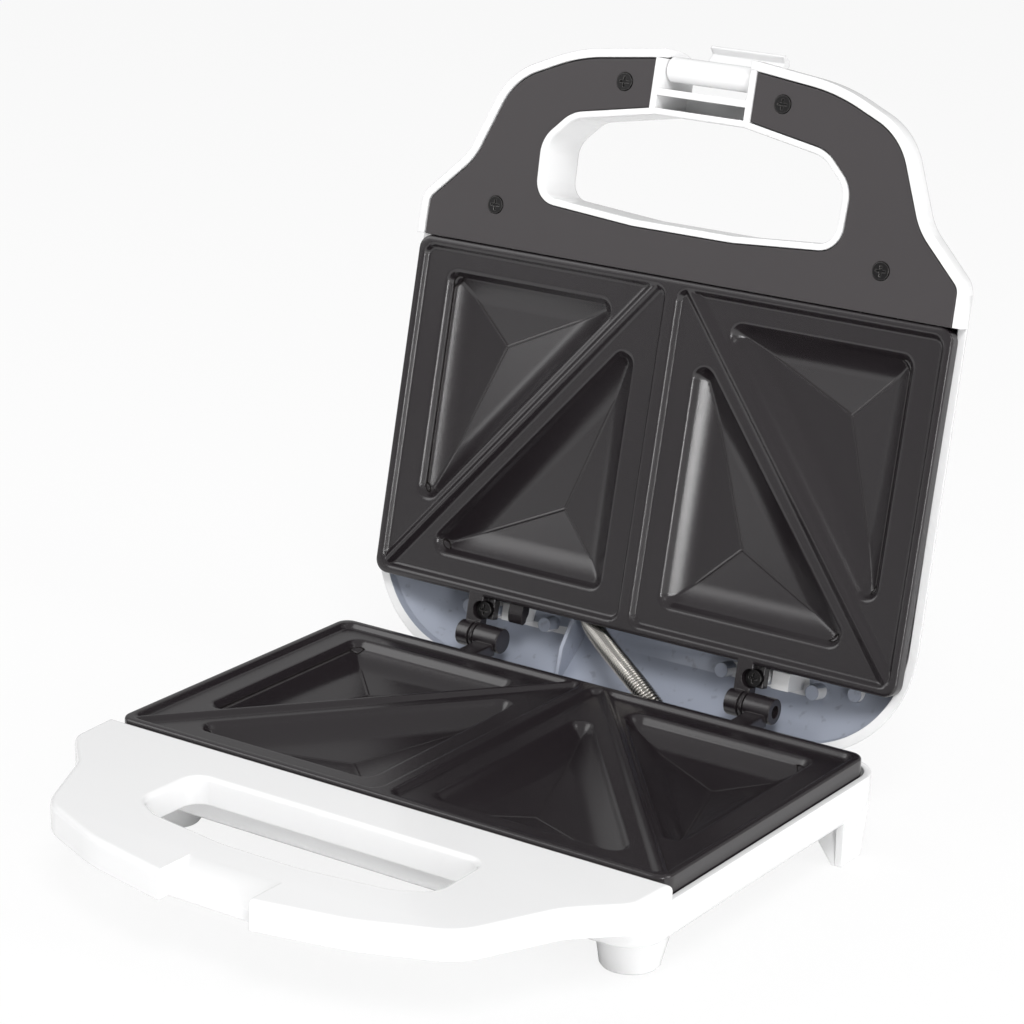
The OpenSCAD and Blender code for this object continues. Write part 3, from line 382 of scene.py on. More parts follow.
def finish(name, colour, second, edge, roughness, spread_of_roughness=0.06, metallic=0.0, coat=0.0,
           fineness=900.0, wave=60.0, share=0.5, bump=0.06, depth=0.0002, edge_width=0.0006, speck=0.0,
           coat_roughness=0.1, level=0.5):
    """A material with a grain, two tones, edges of another colour (wear where handled, and a painted
    highlight on the black screws) and a roughness that varies a little.
    """
    made = bpy.data.materials.new(name)
    made.use_nodes = True
    nodes, links = made.node_tree.nodes, made.node_tree.links
    shader = nodes["Principled BSDF"]
    surface = nodes.new("ShaderNodeGroup")
    surface.node_tree = grain
    surface.inputs["Fineness"].default_value = fineness
    surface.inputs["Wave"].default_value = wave
    surface.inputs["Share"].default_value = share
    edges = nodes.new("ShaderNodeGroup")
    edges.node_tree = wear_and_highlight
    edges.inputs["Width"].default_value = edge_width
    tones = nodes.new("ShaderNodeMix")
    tones.data_type = "RGBA"
    tones.inputs["A"].default_value = (*colour, 1)
    tones.inputs["B"].default_value = (*second, 1)
    wear_and_highlight_mix = nodes.new("ShaderNodeMix")
    wear_and_highlight_mix.data_type = "RGBA"
    wear_and_highlight_mix.inputs["B"].default_value = (*edge, 1)
    links.new(surface.outputs["Tone"], tones.inputs["Factor"])
    links.new(tones.outputs["Result"], wear_and_highlight_mix.inputs["A"])
    links.new(edges.outputs["Mask"], wear_and_highlight_mix.inputs["Factor"])
    last = wear_and_highlight_mix
    if speck:
        dots = nodes.new("ShaderNodeMapRange")
        dots.inputs["From Min"].default_value = 0.62
        dots.inputs["From Max"].default_value = 0.72
        dots.inputs["To Max"].default_value = speck
        links.new(surface.outputs["Speck"], dots.inputs["Value"])
        flecked = nodes.new("ShaderNodeMix")
        flecked.data_type = "RGBA"
        flecked.inputs["B"].default_value = (*edge, 1)
        links.new(wear_and_highlight_mix.outputs["Result"], flecked.inputs["A"])
        links.new(dots.outputs["Result"], flecked.inputs["Factor"])
        last = flecked
    links.new(last.outputs["Result"], shader.inputs["Base Color"])
    gloss = nodes.new("ShaderNodeMapRange")
    gloss.inputs["To Min"].default_value = roughness - spread_of_roughness / 2
    gloss.inputs["To Max"].default_value = roughness + spread_of_roughness / 2
    links.new(surface.outputs["Tone"], gloss.inputs["Value"])
    links.new(gloss.outputs["Result"], shader.inputs["Roughness"])
    relief = nodes.new("ShaderNodeBump")
    relief.inputs["Strength"].default_value = bump
    relief.inputs["Distance"].default_value = depth
    links.new(surface.outputs["Height"], relief.inputs["Height"])
    links.new(edges.outputs["Normal"], relief.inputs["Normal"])
    links.new(relief.outputs["Normal"], shader.inputs["Normal"])
    shader.inputs["Metallic"].default_value = metallic
    shader.inputs["Coat Weight"].default_value = coat
    shader.inputs["Coat Roughness"].default_value = coat_roughness
    shader.inputs["Specular IOR Level"].default_value = level
    return made


def dress(target, made):
    """Gives a piece, or a node carried over from the frame, its material."""
    piece = frame["nodes"][target] if isinstance(target, str) else target
    piece.data.materials.clear()
    piece.data.materials.append(made)


white_plastic = finish("white_plastic", (0.86, 0.86, 0.865), (0.89, 0.89, 0.89), (0.93, 0.93, 0.93),
                       roughness=0.2, coat=0.35, coat_roughness=0.08, fineness=700, wave=90, share=0.3,
                       bump=0.05, depth=0.0002, edge_width=0.0005)
dress(base_casing, white_plastic)

# Cast plates: aluminium with a dark, satin non-stick coat. Each has two cells in a raised rim,
# a cutting ridge across each cell and two pressed wells with faintly pyramid-shaped floors.
rim_z = 0.3
rim_w = 3.0
plate_r = 5.0
metal_t = 2.2
land_drop = 1.8
divider_w = 5.0
ridge_half = 2.2
crest_half = 2.7
grid_step = 0.62
# a well's wall starts at its brink and falls well_depth over well_run, and its floor, which starts
# floor_start inside it, falls up to peak_depth more
well_margin = 9.0
well_corner = 4.4
brink = 0.9
well_run = 10.5
well_depth = 6.6
floor_start = 6.0
peak_depth = 2.2
# the right half's cell, its cutting ridge from ridge_a to ridge_b and the lands beside the ridge
cell_x0, cell_x1 = divider_w / 2, plate_w / 2 - rim_w
cell_y0, cell_y1 = rim_w, plate_d - rim_w
ridge_a = np.array((cell_x0 + 4.5, cell_y0))
ridge_b = np.array((cell_x1, cell_y1))
along = unit(ridge_b - ridge_a)
across = np.array((along[1], -along[0]))
land_a = [(ridge_a[0] + ridge_half / across[0], cell_y0), (cell_x1, cell_y0),
          (cell_x1, cell_y1 + ridge_half / across[1])]
land_b = [(cell_x0, cell_y0 - (ridge_half + across[0] * (cell_x0 - ridge_a[0])) / across[1]),
          (cell_x1 - ridge_half / across[0], cell_y1), (cell_x0, cell_y1)]


def inside_box(x, y, x0, y0, x1, y1, r):
    """How far a point lies inside a rectangle with rounded corners; negative outside."""
    past_x = np.abs(x - (x0 + x1) / 2) - (x1 - x0) / 2 + r
    past_y = np.abs(y - (y0 + y1) / 2) - (y1 - y0) / 2 + r
    past_corner = np.hypot(np.maximum(past_x, 0), np.maximum(past_y, 0))
    return r - past_corner - np.minimum(np.maximum(past_x, past_y), 0)


def shrunk(land, margins):
    """A triangle whose sides are moved inwards, the first of them starting at its first corner."""
    corners = [np.array(p, float) for p in land]
    moved = []
    for i, p in enumerate(corners):
        u, v = unit(corners[(i + 2) % 3] - p), unit(corners[(i + 1) % 3] - p)
        moved.append(p + (margins[i] * u + margins[(i + 2) % 3] * v) / abs(u[0] * v[1] - u[1] * v[0]))
    return moved


wells = (shrunk(land_a, (well_margin - 0.8, well_margin + 1.3, 2.2)),
         shrunk(land_b, (4.8, well_margin - 0.2, well_margin + 0.8)))


def inside_well(x, y, well):
    """How far a point lies inside a triangular well with rounded corners, and inside the sharp one."""
    normals, offsets = [], []
    for i in range(3):
        p, q = well[i], well[(i + 1) % 3]
        n = unit(np.array((-(q - p)[1], (q - p)[0])))
        normals.append(n)
        offsets.append(n @ p + well_corner)
    core = []
    for i in range(3):
        j = (i + 2) % 3
        core.append(np.linalg.solve(np.array((normals[j], normals[i])), np.array((offsets[j], offsets[i]))))
    depth = np.min([n[0] * x + n[1] * y - o for n, o in zip(normals, offsets)], axis=0)
    gap = np.full(x.shape, 1e9)
    for i in range(3):
        p, q = core[i], core[(i + 1) % 3]
        t = np.clip(((x - p[0]) * (q - p)[0] + (y - p[1]) * (q - p)[1]) / ((q - p) @ (q - p)), 0, 1)
        gap = np.minimum(gap, np.hypot(x - p[0] - t * (q - p)[0], y - p[1] - t * (q - p)[1]))
    return well_corner + np.where(depth > 0, depth, -gap), depth + well_corner


def ease(t):
    t = np.clip(t, 0, 1)
    return t * t * (3 - 2 * t)


def plate_height(x, y):
    """Height of the plate's face over (x, y), with the rim at 0; both halves are alike."""
    x = np.abs(x)
    edge = inside_box(x, y, -plate_w / 2, 0, plate_w / 2, plate_d, plate_r)
    z = -(1 - np.sqrt(np.clip(1 - (1 - np.clip(edge, 0, 1)) ** 2, 0, 1)))
    cell = inside_box(x, y, cell_x0, cell_y0, cell_x1, cell_y1, 4)
    z = z - land_drop * ease((cell + 0.35) / 1.5)
    from_ridge = np.abs((x - ridge_a[0]) * across[0] + (y - ridge_a[1]) * across[1])
    crest = 1 - ease((from_ridge / crest_half - 0.12) / 0.88)
    z = np.where(cell > -1, np.maximum(z, -land_drop + (land_drop - 0.3) * crest), z)
    for well in wells:
        within, pointed = inside_well(x, y, well)
        # the walls fall in a quarter wave from a softly rounded brink
        fall = np.clip((within + brink) / (well_run + brink), 0, 1)
        z = z - well_depth * np.sin(math.pi / 2 * fall) * ease((within + brink) / 2.4) ** 0.8
        # and the floor goes on falling gently towards its middle
        inner = pointed - floor_start
        floor_fall = peak_depth / 16 * (np.sqrt(inner * inner + 4) + inner) / 2
        z = z - np.where(within > -0.5, floor_fall, 0) * ease(within / 3)
    return z


def plate_skin(skirt):
    """The whole plate as one closed skin: its face, its skirt and its underside."""
    xs = np.linspace(-plate_w / 2, plate_w / 2, int(plate_w / grid_step) // 2 * 2 + 1)
    ys = np.linspace(0, plate_d, int(plate_d / grid_step) + 1)
    # more lines close to the rim, where the form is tightest
    extra = np.array((0.12, 0.3, 0.5))
    xs = np.unique(np.concatenate((xs, -plate_w / 2 + extra, plate_w / 2 - extra)))
    ys = np.unique(np.concatenate((ys, extra, plate_d - extra)))
    x, y = np.meshgrid(xs, ys)
    cx = np.clip(x, -plate_w / 2 + plate_r, plate_w / 2 - plate_r)
    cy = np.clip(y, plate_r, plate_d - plate_r)
    far = np.maximum(np.hypot(x - cx, y - cy), 1e-9)
    nearer = np.maximum(np.abs(x - cx), np.abs(y - cy))
    pull = np.where((x != cx) & (y != cy), np.minimum(1, nearer / far), 1)
    x, y = cx + (x - cx) * pull, cy + (y - cy) * pull
    face = np.stack((x, y, plate_height(x, y)), axis=-1)
    rows, columns = x.shape
    shrink = np.array(((plate_w / 2 - metal_t) / (plate_w / 2), (plate_d / 2 - metal_t) / (plate_d / 2)))
    under = face.copy()
    under[..., 0] = x * shrink[0]
    under[..., 1] = plate_d / 2 + (y - plate_d / 2) * shrink[1]
    under[..., 2] = np.minimum(face[..., 2], -land_drop) - metal_t
    loop = [(0, j) for j in range(columns)] + [(i, columns - 1) for i in range(1, rows)]
    loop += [(rows - 1, j) for j in range(columns - 2, -1, -1)] + [(i, 0) for i in range(rows - 2, 0, -1)]
    outer = np.array([face[i, j] for i, j in loop])
    inner = np.array([under[i, j] for i, j in loop])
    centre = np.array((0, plate_d / 2))

    def skirt_ring(base, z, scale=1.0):
        flat = centre + (base[:, :2] - centre) * scale
        return at_height(flat, z)

    rings = [skirt_ring(outer, -skirt + 0.5), skirt_ring(outer, -skirt + 0.15, 0.9985),
             skirt_ring(outer, -skirt, 0.996), skirt_ring(inner, -skirt), skirt_ring(inner, -skirt + 0.3)]
    points = np.vstack([face.reshape(-1, 3), under.reshape(-1, 3)] + rings)
    faces = []
    under_start = rows * columns
    for i in range(rows - 1):
        for j in range(columns - 1):
            near = i * columns + j
            square = (near, near + 1, near + columns + 1, near + columns)
            faces.append(square)
            faces.append(tuple(under_start + corner for corner in reversed(square)))
    n = len(loop)
    rings_start = 2 * rows * columns
    chain = [[i * columns + j for i, j in loop]]
    chain += [[rings_start + r * n + q for q in range(n)] for r in range(len(rings))]
    chain += [[under_start + i * columns + j for i, j in loop]]
    for upper, lower in zip(chain, chain[1:]):
        for q in range(n):
            following = (q + 1) % n
            faces.append((upper[q], lower[q], lower[following], upper[following]))
    return points, faces


# a crease's section, in shares of its half width and of its height
crease_section = ((-1, -1.6), (1, -1.6), (0.8, 0.3), (0.35, 0.9), (-0.35, 0.9), (-0.8, 0.3))


def crease_ribs(place_skin):
    """Fine raised lines where the three floors of each well meet, as skins in the plate's place."""
    skins = []
    for well in wells:
        opposite = [np.linalg.norm(well[(i + 1) % 3] - well[(i + 2) % 3]) for i in range(3)]
        middle = sum(length * p for length, p in zip(opposite, well)) / sum(opposite)
        for corner in well:
            way = unit(corner - middle)
            across_way = np.array((-way[1], way[0]))
            from_middle = np.linalg.norm(corner - middle)
            rib_length = min(0.62 * from_middle, from_middle - 11)
            for s in (-1, 1):
                rings = []
                for t in np.linspace(0, 1, 40):
                    at = middle + way * rib_length * t
                    floor_at = float(plate_height(at[:1], at[1:])[0])
                    fade = min(1, 6 * (1 - t)) ** 0.5
                    half_w, height = 0.12 + 0.38 * fade, 0.02 + 0.28 * fade
                    ring = []
                    for a, b in crease_section:
                        x, y = at + across_way * a * half_w
                        ring.append((s * x, y, floor_at + b * height))
                    rings.append(np.array(ring[::s]))
                points, faces = loft(rings)
                skins.append((place_skin(points), faces))
    return skins


def add_shells(piece, skins, turned):
    """Puts small closed skins into a piece's mesh as they are."""
    work = bmesh.new()
    work.from_mesh(piece.data)
    added = []
    for points, faces in skins:
        corners = [work.verts.new(p) for p in to_world(points, turned)]
        added += [work.faces.new([corners[i] for i in face]) for face in faces]
    bmesh.ops.recalc_face_normals(work, faces=added)
    work.to_mesh(piece.data)
    work.free()


knuckle_r = 4.6
pin_r = 2.2
hinge_x = 56.0
# the lid's knuckles lie to the left of the base's barrels, on both hinges
knuckle_x0 = -9.3
knuckle_w = 7.1
barrel_w = 10.5
barrel_x0 = knuckle_x0 + knuckle_w + 0.3
lug_start = plate_d - 1.2
lug_end = hinge_y - 3


def turned_x(steps, y, z):
    """A turned form about a line along X, from steps of x and radius."""
    rim = circle(64)
    return loft([np.column_stack((np.full(len(rim), x), rim * radius + (y, z))) for x, radius in steps])


def knuckle(x0, x1, grooves=()):
    """A turned barrel on the hinge axis with eased rims and narrow grooves."""
    steps = [(x0, knuckle_r - 0.5), (x0 + 0.15, knuckle_r - 0.15), (x0 + 0.5, knuckle_r)]
    for g in grooves:
        steps += [(g - 0.5, knuckle_r), (g - 0.35, knuckle_r - 0.9)]
        steps += [(g + 0.35, knuckle_r - 0.9), (g + 0.5, knuckle_r)]
    steps += [(x1 - 0.5, knuckle_r), (x1 - 0.15, knuckle_r - 0.15), (x1, knuckle_r - 0.5)]
    return turned_x(steps, hinge_y, 0)


def lug(x0, x1, z0, z1, end_y):
    """An arm from the skirt to a knuckle, with eased edges along its length."""
    section = outline([(x, z, 0.6, 4) for x, z in ((x0, z0), (x1, z0), (x1, z1), (x0, z1))])
    return loft([np.column_stack((section[:, 0], np.full(len(section), y), section[:, 1]))
                 for y in (end_y, lug_start)])


# the base's plate: the drawn one turned front to rear, with a barrel on each of its two lugs
base_place = (0, plate_d, -rim_z)
base_skin, base_faces = plate_skin(12.0)
base_plate = solid("base_plate_cast", (base_skin * (1, -1, 1) + base_place, [f[::-1] for f in base_faces]))
for s in (-1, 1):
    x0 = s * hinge_x + barrel_x0
    x1 = x0 + barrel_w
    carve(base_plate, "UNION", [lug(x0 + 1.5, x1 - 1.5, -5, -rim_z, lug_end), knuckle(x0, x1)])
    # the left barrel is closed at its right end, and the right one is bored through
    bore_end = x1 - 1.5 if s < 0 else x1 + 1
    carve(base_plate, "DIFFERENCE", [rod_x(x0 - 1, bore_end, hinge_y, 0, pin_r + 0.06)])
add_shells(base_plate, crease_ribs(lambda p: p * (1, -1, 1) + base_place), False)
smooth(base_plate, 40)
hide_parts("base_plate")
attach(base_plate, "base")

# the lid's plate: the drawn one face down, with screwed lugs, a knuckle each, and front tabs
lid_place = (0, 0, rim_z)
lug_screws = [(s * hinge_x - 3, plate_d + 4.8) for s in (-1, 1)]
tab_screws = [(s * 77.5, -14.6) for s in (-1, 1)]
screw_hole_r = 1.7
screw_head_r = 3.3
lid_skin, lid_faces = plate_skin(5.0)
lid_plate = solid("lid_plate_cast", (lid_skin * (1, 1, -1) + lid_place, [f[::-1] for f in lid_faces]),
                  turned=True)
for s, lug_screw, tab_screw in zip((-1, 1), lug_screws, tab_screws):
    x = s * hinge_x
    x0, x1 = x + knuckle_x0, x + knuckle_x0 + knuckle_w
    carve(lid_plate, "UNION", [
        lug(x0 + 0.4, x1 - 0.3, rim_z, 5, lug_end), lug(x - 6.4, x + 0.4, 4, 7.6, plate_d + 8),
        knuckle(x0, x1, [x1 - 1.6]),
        block((tab_screw[0] - 6, -19, 3.6), (tab_screw[0] + 6, 1, 6.4))], turned=True)
    carve(lid_plate, "DIFFERENCE", [
        rod_x(x0 - 1, x1 + 1, hinge_y, 0, pin_r),
        round_post(*lug_screw, -1, 9, screw_hole_r), round_post(*lug_screw, -1, 4.6, screw_head_r),
        round_post(*tab_screw, 0, 8, screw_hole_r)], turned=True)
# a cast stub that stands out of the skirt beside the left hinge
stub = [(lug_start, 2), (plate_d + 3.4, 1.6), (plate_d + 6.2, 2.3), (plate_d + 7, 3.4), (plate_d + 6.2, 4.8),
        (plate_d + 4.6, 5.2), (plate_d + 3.2, 6.1), (lug_start, 6.3)]
carve(lid_plate, "UNION", [across_x(stub, -48, -42.2)], turned=True)
add_shells(lid_plate, crease_ribs(lambda p: p * (1, 1, -1) + lid_place), True)
smooth(lid_plate, 40)
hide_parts("lid_plate")
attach(lid_plate, "lid")

# its light flecks (speck) are painted glints for the coat's speckled sparkle
nonstick = finish("nonstick_coat", (0.0115, 0.0088, 0.0105), (0.015, 0.0118, 0.0138), (0.045, 0.04, 0.038),
                  roughness=0.22, spread_of_roughness=0.05, coat=0.0, fineness=3200, wave=500, share=0.75,
                  bump=0.14, depth=0.0003, edge_width=0.0004, speck=0.1, level=0.74)
dress(base_plate, nonstick)
dress(lid_plate, nonstick)

# Lid casing: a second white moulding, a dome with square shoulders and a looped handle, open
# underneath, with a recess for the clip and screw bosses that stand in its hollow rear.
lid_x = 111.3
lid_reach = 77.8
lid_back = plate_d + 26.5
handle_h = 23.6
dome_h = 38.0
lid_edge = rim_z + 5.2
lip_z = 0.5
# corners to the right of the middle, front to rear: x, y, radius, pieces
handle_corners = [(12, -lid_reach, 60, 6), (52, -lid_reach + 4.6, 70, 8),
                  (lid_x - 31.8, -lid_reach + 16.3, 27, 14), (lid_x - 19.5, -31.5, 22, 11),
                  (lid_x - 2, -14.6, 8, 12), (lid_x, lid_back, 42, 28)]
dome_corners = [(12, -13.4, 60, 6), (46, -13, 60, 8), (72, -11.6, 14, 14),
                (88, -8.4, 12, 11), (lid_x - 6, 2, 8, 12), (lid_x, lid_back, 42, 28)]
hole_corners = [(18, -57, 10, 6), (51, -51.2, 14, 12), (62, -40.5, 12, 12), (61.3, -18.2, 9, 12),
                (20, -15.2, 40, 6)]
rise_h = dome_h - handle_h
# height, scale of the width, inset, share of dome, scale of the dome; from the top down inside
inner_steps = [(dome_h - wall, 0.87, 8 + wall, 1, 0.5),
               (handle_h + rise_h * 0.7 - wall, 0.87, 8 + wall, 1, 0.7),
               (handle_h + rise_h * 0.4 - wall, 0.87, 8 + wall, 1, 0.86),
               (handle_h + rise_h * 0.1 - wall, 0.875, 8 + wall, 1, 1),
               (handle_h + rise_h * 0.04 - wall, 0.88, 8.5 + wall, 0.5, 1),
               (handle_h - wall, 0.885, 7 + wall, 0, 1), (handle_h - 4, 0.913, 1.6 + wall, 0, 1),
               (handle_h * 0.5, 0.968, 0.2 + wall, 0, 1), (lid_edge + 3, 0.991, wall, 0, 1),
               (4, 1, wall + 0.6, 0, 1), (lip_z + 0.2, 1, wall + 0.7, 0, 1), (lip_z, 1, wall + 0.5, 0, 1)]
# and from the lip up outside, with the first four steps plain and a curve through the rest
lip_steps = [(lip_z, 1, 0.6, 0, 1), (lip_z + 0.12, 1, 0.3, 0, 1), (lip_z + 0.6, 1, 0, 0, 1),
             (lid_edge + 0.5, 1, 0, 0, 1)]
dome_steps = [(lid_edge + 3, 0.991, 0, 0, 1), (handle_h * 0.52, 0.967, 0.2, 0, 1),
              (handle_h * 0.73, 0.934, 1, 0, 1), (handle_h - 2.6, 0.905, 2.6, 0, 1),
              (handle_h - 0.8, 0.89, 4.8, 0, 1), (handle_h, 0.88, 8.5, 0, 1),
              (handle_h + rise_h * 0.04, 0.875, 9, 0.5, 1), (handle_h + rise_h * 0.12, 0.87, 8, 1, 1),
              (handle_h + rise_h * 0.4, 0.87, 8, 1, 0.92), (handle_h + rise_h * 0.7, 0.87, 8, 1, 0.79),
              (handle_h + rise_h * 0.9, 0.87, 8, 1, 0.62), (dome_h, 0.87, 8, 1, 0.36)]


def lid_ring(z, width_scale, inset, dome, dome_scale):
    """The casing's outline at one height, between the handle's outline and the dome's."""
    corners = [tuple(a + dome * (b - a) for a, b in zip(p, q)) for p, q in zip(handle_corners, dome_corners)]
    p = outline(both_sides([(x, y, r, int(round(n))) for x, y, r, n in corners]), inset)
    middle = lid_back * 0.4
    y = np.where(p[:, 1] > 0, p[:, 1] * width_scale, p[:, 1])
    return np.column_stack((p[:, 0] * width_scale * dome_scale, middle + (y - middle) * dome_scale,
                            np.full(len(p), float(z))))


def between(steps, pieces):
    """More steps on a smooth curve through the given ones."""
    steps = np.array(steps, float)
    out = []
    for i in range(len(steps) - 1):
        a, b = steps[max(i - 1, 0)], steps[min(i + 2, len(steps) - 1)]
        p, q = steps[i], steps[i + 1]
        for k in range(pieces):
            t = k / pieces
            curved = (2 * p + (q - a) * t + (2 * a - 5 * p + 4 * q - b) * t ** 2
                      + (3 * p - a - 3 * q + b) * t ** 3) / 2
            out.append(np.clip(curved, np.minimum(p, q), np.maximum(p, q)))
    out.append(steps[-1])
    return out


hole = both_sides(hole_corners)
lid_casing = solid("lid_casing_skin", loft(
    [lid_ring(*step) for step in inner_steps + lip_steps]
    + [lid_ring(*step) for step in between(dome_steps, 4)]), turned=True)

# screw bosses: at the hinges, in the hollow rear, under the cover, and for the lamps' holder
boss_bore_r = 1.4
top_screws = [(s * 31.5, -64) for s in (-1, 1)]
lamp_y, lamp_screw_x, lens_x = 34, 24, 11
lamp_screws = [(s * lamp_screw_x, lamp_y) for s in (-1, 1)]
hinge_bosses = [round_post(*place_of, 7.8, handle_h - 2, 3) for place_of in lug_screws]
rear_boss_r = 2.65
rear_bosses = [round_post(x, 131, 14, handle_h - 1.4, rear_boss_r) for x in (-73, -40, 34, 70)]
rear_bosses += [round_post(86, 128, 14, handle_h - 4.5, rear_boss_r)]
cover_bosses = [round_post(*place_of, 3.4, handle_h - 1, 3.4) for place_of in top_screws]
cover_bosses += [round_post(*place_of, 6.6, handle_h - 1, 3.6) for place_of in tab_screws]
lamp_bosses = [round_post(*place_of, dome_h - 5, dome_h - 1, 3) for place_of in lamp_screws]
lamp_bosses += [round_post(*place_of, dome_h - 8.4, dome_h - 3, boss_bore_r) for place_of in lamp_screws]

# a curved fin and a rib that hold the conduit between them, and blocks that the lugs rest on
fin = [(121, 14.2), (136, 7), (147.5, 6.2), (146.5, 10), (141.5, 15), (134, 20), (127, 22.2), (121, 22.2)]
conduit_ribs = [block((-16.4, 119, 16), (-14.8, 128, handle_h - 1.4)), across_x(fin, -28, -26.4)]
lug_rests = [block((s * hinge_x + 1, 125.6, 8.5), (s * hinge_x + 7.6, 131.8, handle_h - 2.4))
             for s in (-1, 1)]

# the clip's recess: two cheeks and a rear wall
cheek_x = latch_half + wall / 2
recess_rear = -lid_reach + 14.3
recess_walls = [block((s * cheek_x - wall / 2, -lid_reach + 4, lip_z + 0.03),
                      (s * cheek_x + wall / 2, -56.2, handle_h - 2)) for s in (-1, 1)]
recess_walls += [block((-latch_half - 0.5, recess_rear, lip_z + 0.03),
                       (latch_half + 0.5, recess_rear + wall, handle_h - 2))]
hole_wall = stacked(hole, [(0.3, lip_z + 0.02), (0.3, handle_h - 1)])
carve(lid_casing, "UNION", [hole_wall] + recess_walls + lug_rests + hinge_bosses + rear_bosses + cover_bosses
      + lamp_bosses + conduit_ribs, turned=True)
hole_cut = stacked(hole, [
    (1.6, lip_z - 1), (1.7, lip_z - 0.02), (2.4, lip_z + 0.35), (2.7, lip_z + 1.1), (2.7, handle_h - 2.4),
    (2.45, handle_h - 1.2), (1.8, handle_h - 0.4), (0.6, handle_h + 0.2), (-0.6, handle_h + 0.9),
    (-1.4, handle_h + 3)])
far = 300
# the middle of the pin that the clip's lever turns on
latch_y = -lid_reach + 7.3
latch_z = 8.0
carve(lid_casing, "DIFFERENCE", [
    block((-far, -0.4, -5), (far, far, lid_edge)), hole_cut,
    block((-latch_half, -lid_reach - 5, -1), (latch_half, recess_rear, dome_h))]
    + [round_post(*place_of, 0, handle_h - 6, boss_bore_r) for place_of in top_screws + tab_screws]
    + [round_post(*place_of, 0, 18, boss_bore_r) for place_of in lug_screws]
    + [round_post(s * lens_x, lamp_y, dome_h - 9, dome_h + 2, 3.65) for s in (-1, 1)]
    + [rod_x(-latch_half - 2.1, latch_half + 2.1, latch_y, latch_z, 1.25)], turned=True)
smooth(lid_casing)
dress(lid_casing, white_plastic)
# the lid's hollow rear as painted shade: the white plastic darkened to blue-grey, with painted dark flecks
# and darker edges
painted_shade_plastic = finish("white_plastic_painted_shade", (0.40, 0.43, 0.50), (0.33, 0.36, 0.44), (0.2, 0.21, 0.24),
                        roughness=0.34, coat=0.1, fineness=260, wave=90, share=0.3, bump=0.05, speck=0.5)
lid_casing.data.materials.append(painted_shade_plastic)
# the inner faces behind the plate, found with the lid turned shut, get the white plastic with painted shade
cosine, sine = math.cos(lid_open), math.sin(lid_open)
for face in lid_casing.data.polygons:
    centre = np.array(face.center) * 1000 - (0, front_y, parting_h)
    normal = np.array(face.normal)
    y, z = centre[1] - hinge_y, centre[2]
    shut_y, shut_z = hinge_y + y * cosine - z * sine, y * sine + z * cosine
    normal_y, normal_z = normal[1] * cosine - normal[2] * sine, normal[1] * sine + normal[2] * cosine
    outward = unit(np.array((centre[0], shut_y - 60)))
    behind_plate = shut_y > plate_d - 2 and shut_z > 6.5
    turned_inwards = outward @ (normal[0], normal_y) < 0.05 and normal_z < 0.3
    beside_lug = 0.5 < abs(centre[0] - math.copysign(hinge_x, centre[0])) < 8.1
    if behind_plate and turned_inwards and not beside_lug:
        face.material_index = 1
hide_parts("lid_casing")
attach(lid_casing, "lid")

# Handle cover: a flat frame of dark, matt plastic let into the lid's handle and screwed down
# with four screws. Its edge is eased, and it stops short of the clip's recess.
cover_z = 1.0
cover_t = 2.4
recess_gap = 0.3
handle_cover = solid("handle_cover_frame", stacked(both_sides(handle_corners), [
    (3.95, cover_z), (3.65, cover_z + 0.1), (3.5, cover_z + 0.45), (3.5, cover_z + cover_t)]), turned=True)
cover_opening = stacked(hole, [(-0.5, cover_z - 1), (-0.42, cover_z), (-0.12, cover_z + 0.12),
                               (0, cover_z + 0.45), (0, cover_z + cover_t + 1)])
recess_half = latch_half + wall + recess_gap
carve(handle_cover, "DIFFERENCE", [
    cover_opening, block((-recess_half, -lid_reach - 5, -1), (recess_half, -40, 6)),
    block((-far, -0.3, -1), (far, far, 6))]
    + [round_post(*place_of, -1, cover_z + 1, screw_head_r) for place_of in top_screws + tab_screws]
    + [round_post(*place_of, 0, 6, 1.8) for place_of in top_screws + tab_screws], turned=True)
smooth(handle_cover)
cover_plastic = finish("cover_plastic", (0.043, 0.038, 0.040), (0.049, 0.044, 0.046), (0.12, 0.115, 0.115),
                       roughness=0.48, fineness=1500, wave=200, share=0.7, bump=0.08, depth=0.0002)
dress(handle_cover, cover_plastic)
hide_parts("handle_cover")
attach(handle_cover, "lid")

# Screws: steel with a black oxide finish and a cross recess. Four hold the handle cover, two of
# them through the lid plate's tabs, and two more hold the lid plate's lugs.
# their light edge colour is a painted highlight on the heads' rims and on the edges of the cross recesses
black_screw = finish("black_oxide", (0.014, 0.013, 0.014), (0.024, 0.023, 0.023), (0.3, 0.29, 0.28),
                     roughness=0.26, metallic=0.6, fineness=2500, wave=400, bump=0.08, depth=0.0001,
                     edge_width=0.0003)
for name in ("cover_screws", "hinge_screws"):
    dress(name, black_screw)

# Clip: a moulded lever of the casings' white plastic, with a barrel that turns on a steel pin
# between the cheeks of the lid's recess. Shut, its toe hooks under the base's handle bar.
clip_y = -base_reach + 5.1
latch_open = math.radians(frame["record"]["behaviour"]["joints"][1]["range_deg"][1])
# the latched lever's section, as y, z, radius and pieces
lever = [(clip_y - 3, bar_top - 1, 1, 5), (clip_y - 3, bar_low - 2.4, 0.7, 5),
         (clip_y - 1.2, bar_low - 3, 0.7, 5), (clip_y + 2.6, bar_low - 1.8, 0.4, 5),
         (clip_y + 3.2, bar_low - 0.4, 0.3, 4), (clip_y - 0.2, bar_low - 0.4, 0.4, 4),
         (clip_y - 0.2, bar_top - 1.5, 2, 6), (latch_y - 1, latch_z - 4, 1, 5),
         (latch_y + 3, latch_z - 3, 0.5, 4), (latch_y - 3, latch_z + 3.4, 0.5, 4),
         (latch_y - 4.2, latch_z + 1, 0.5, 4)]


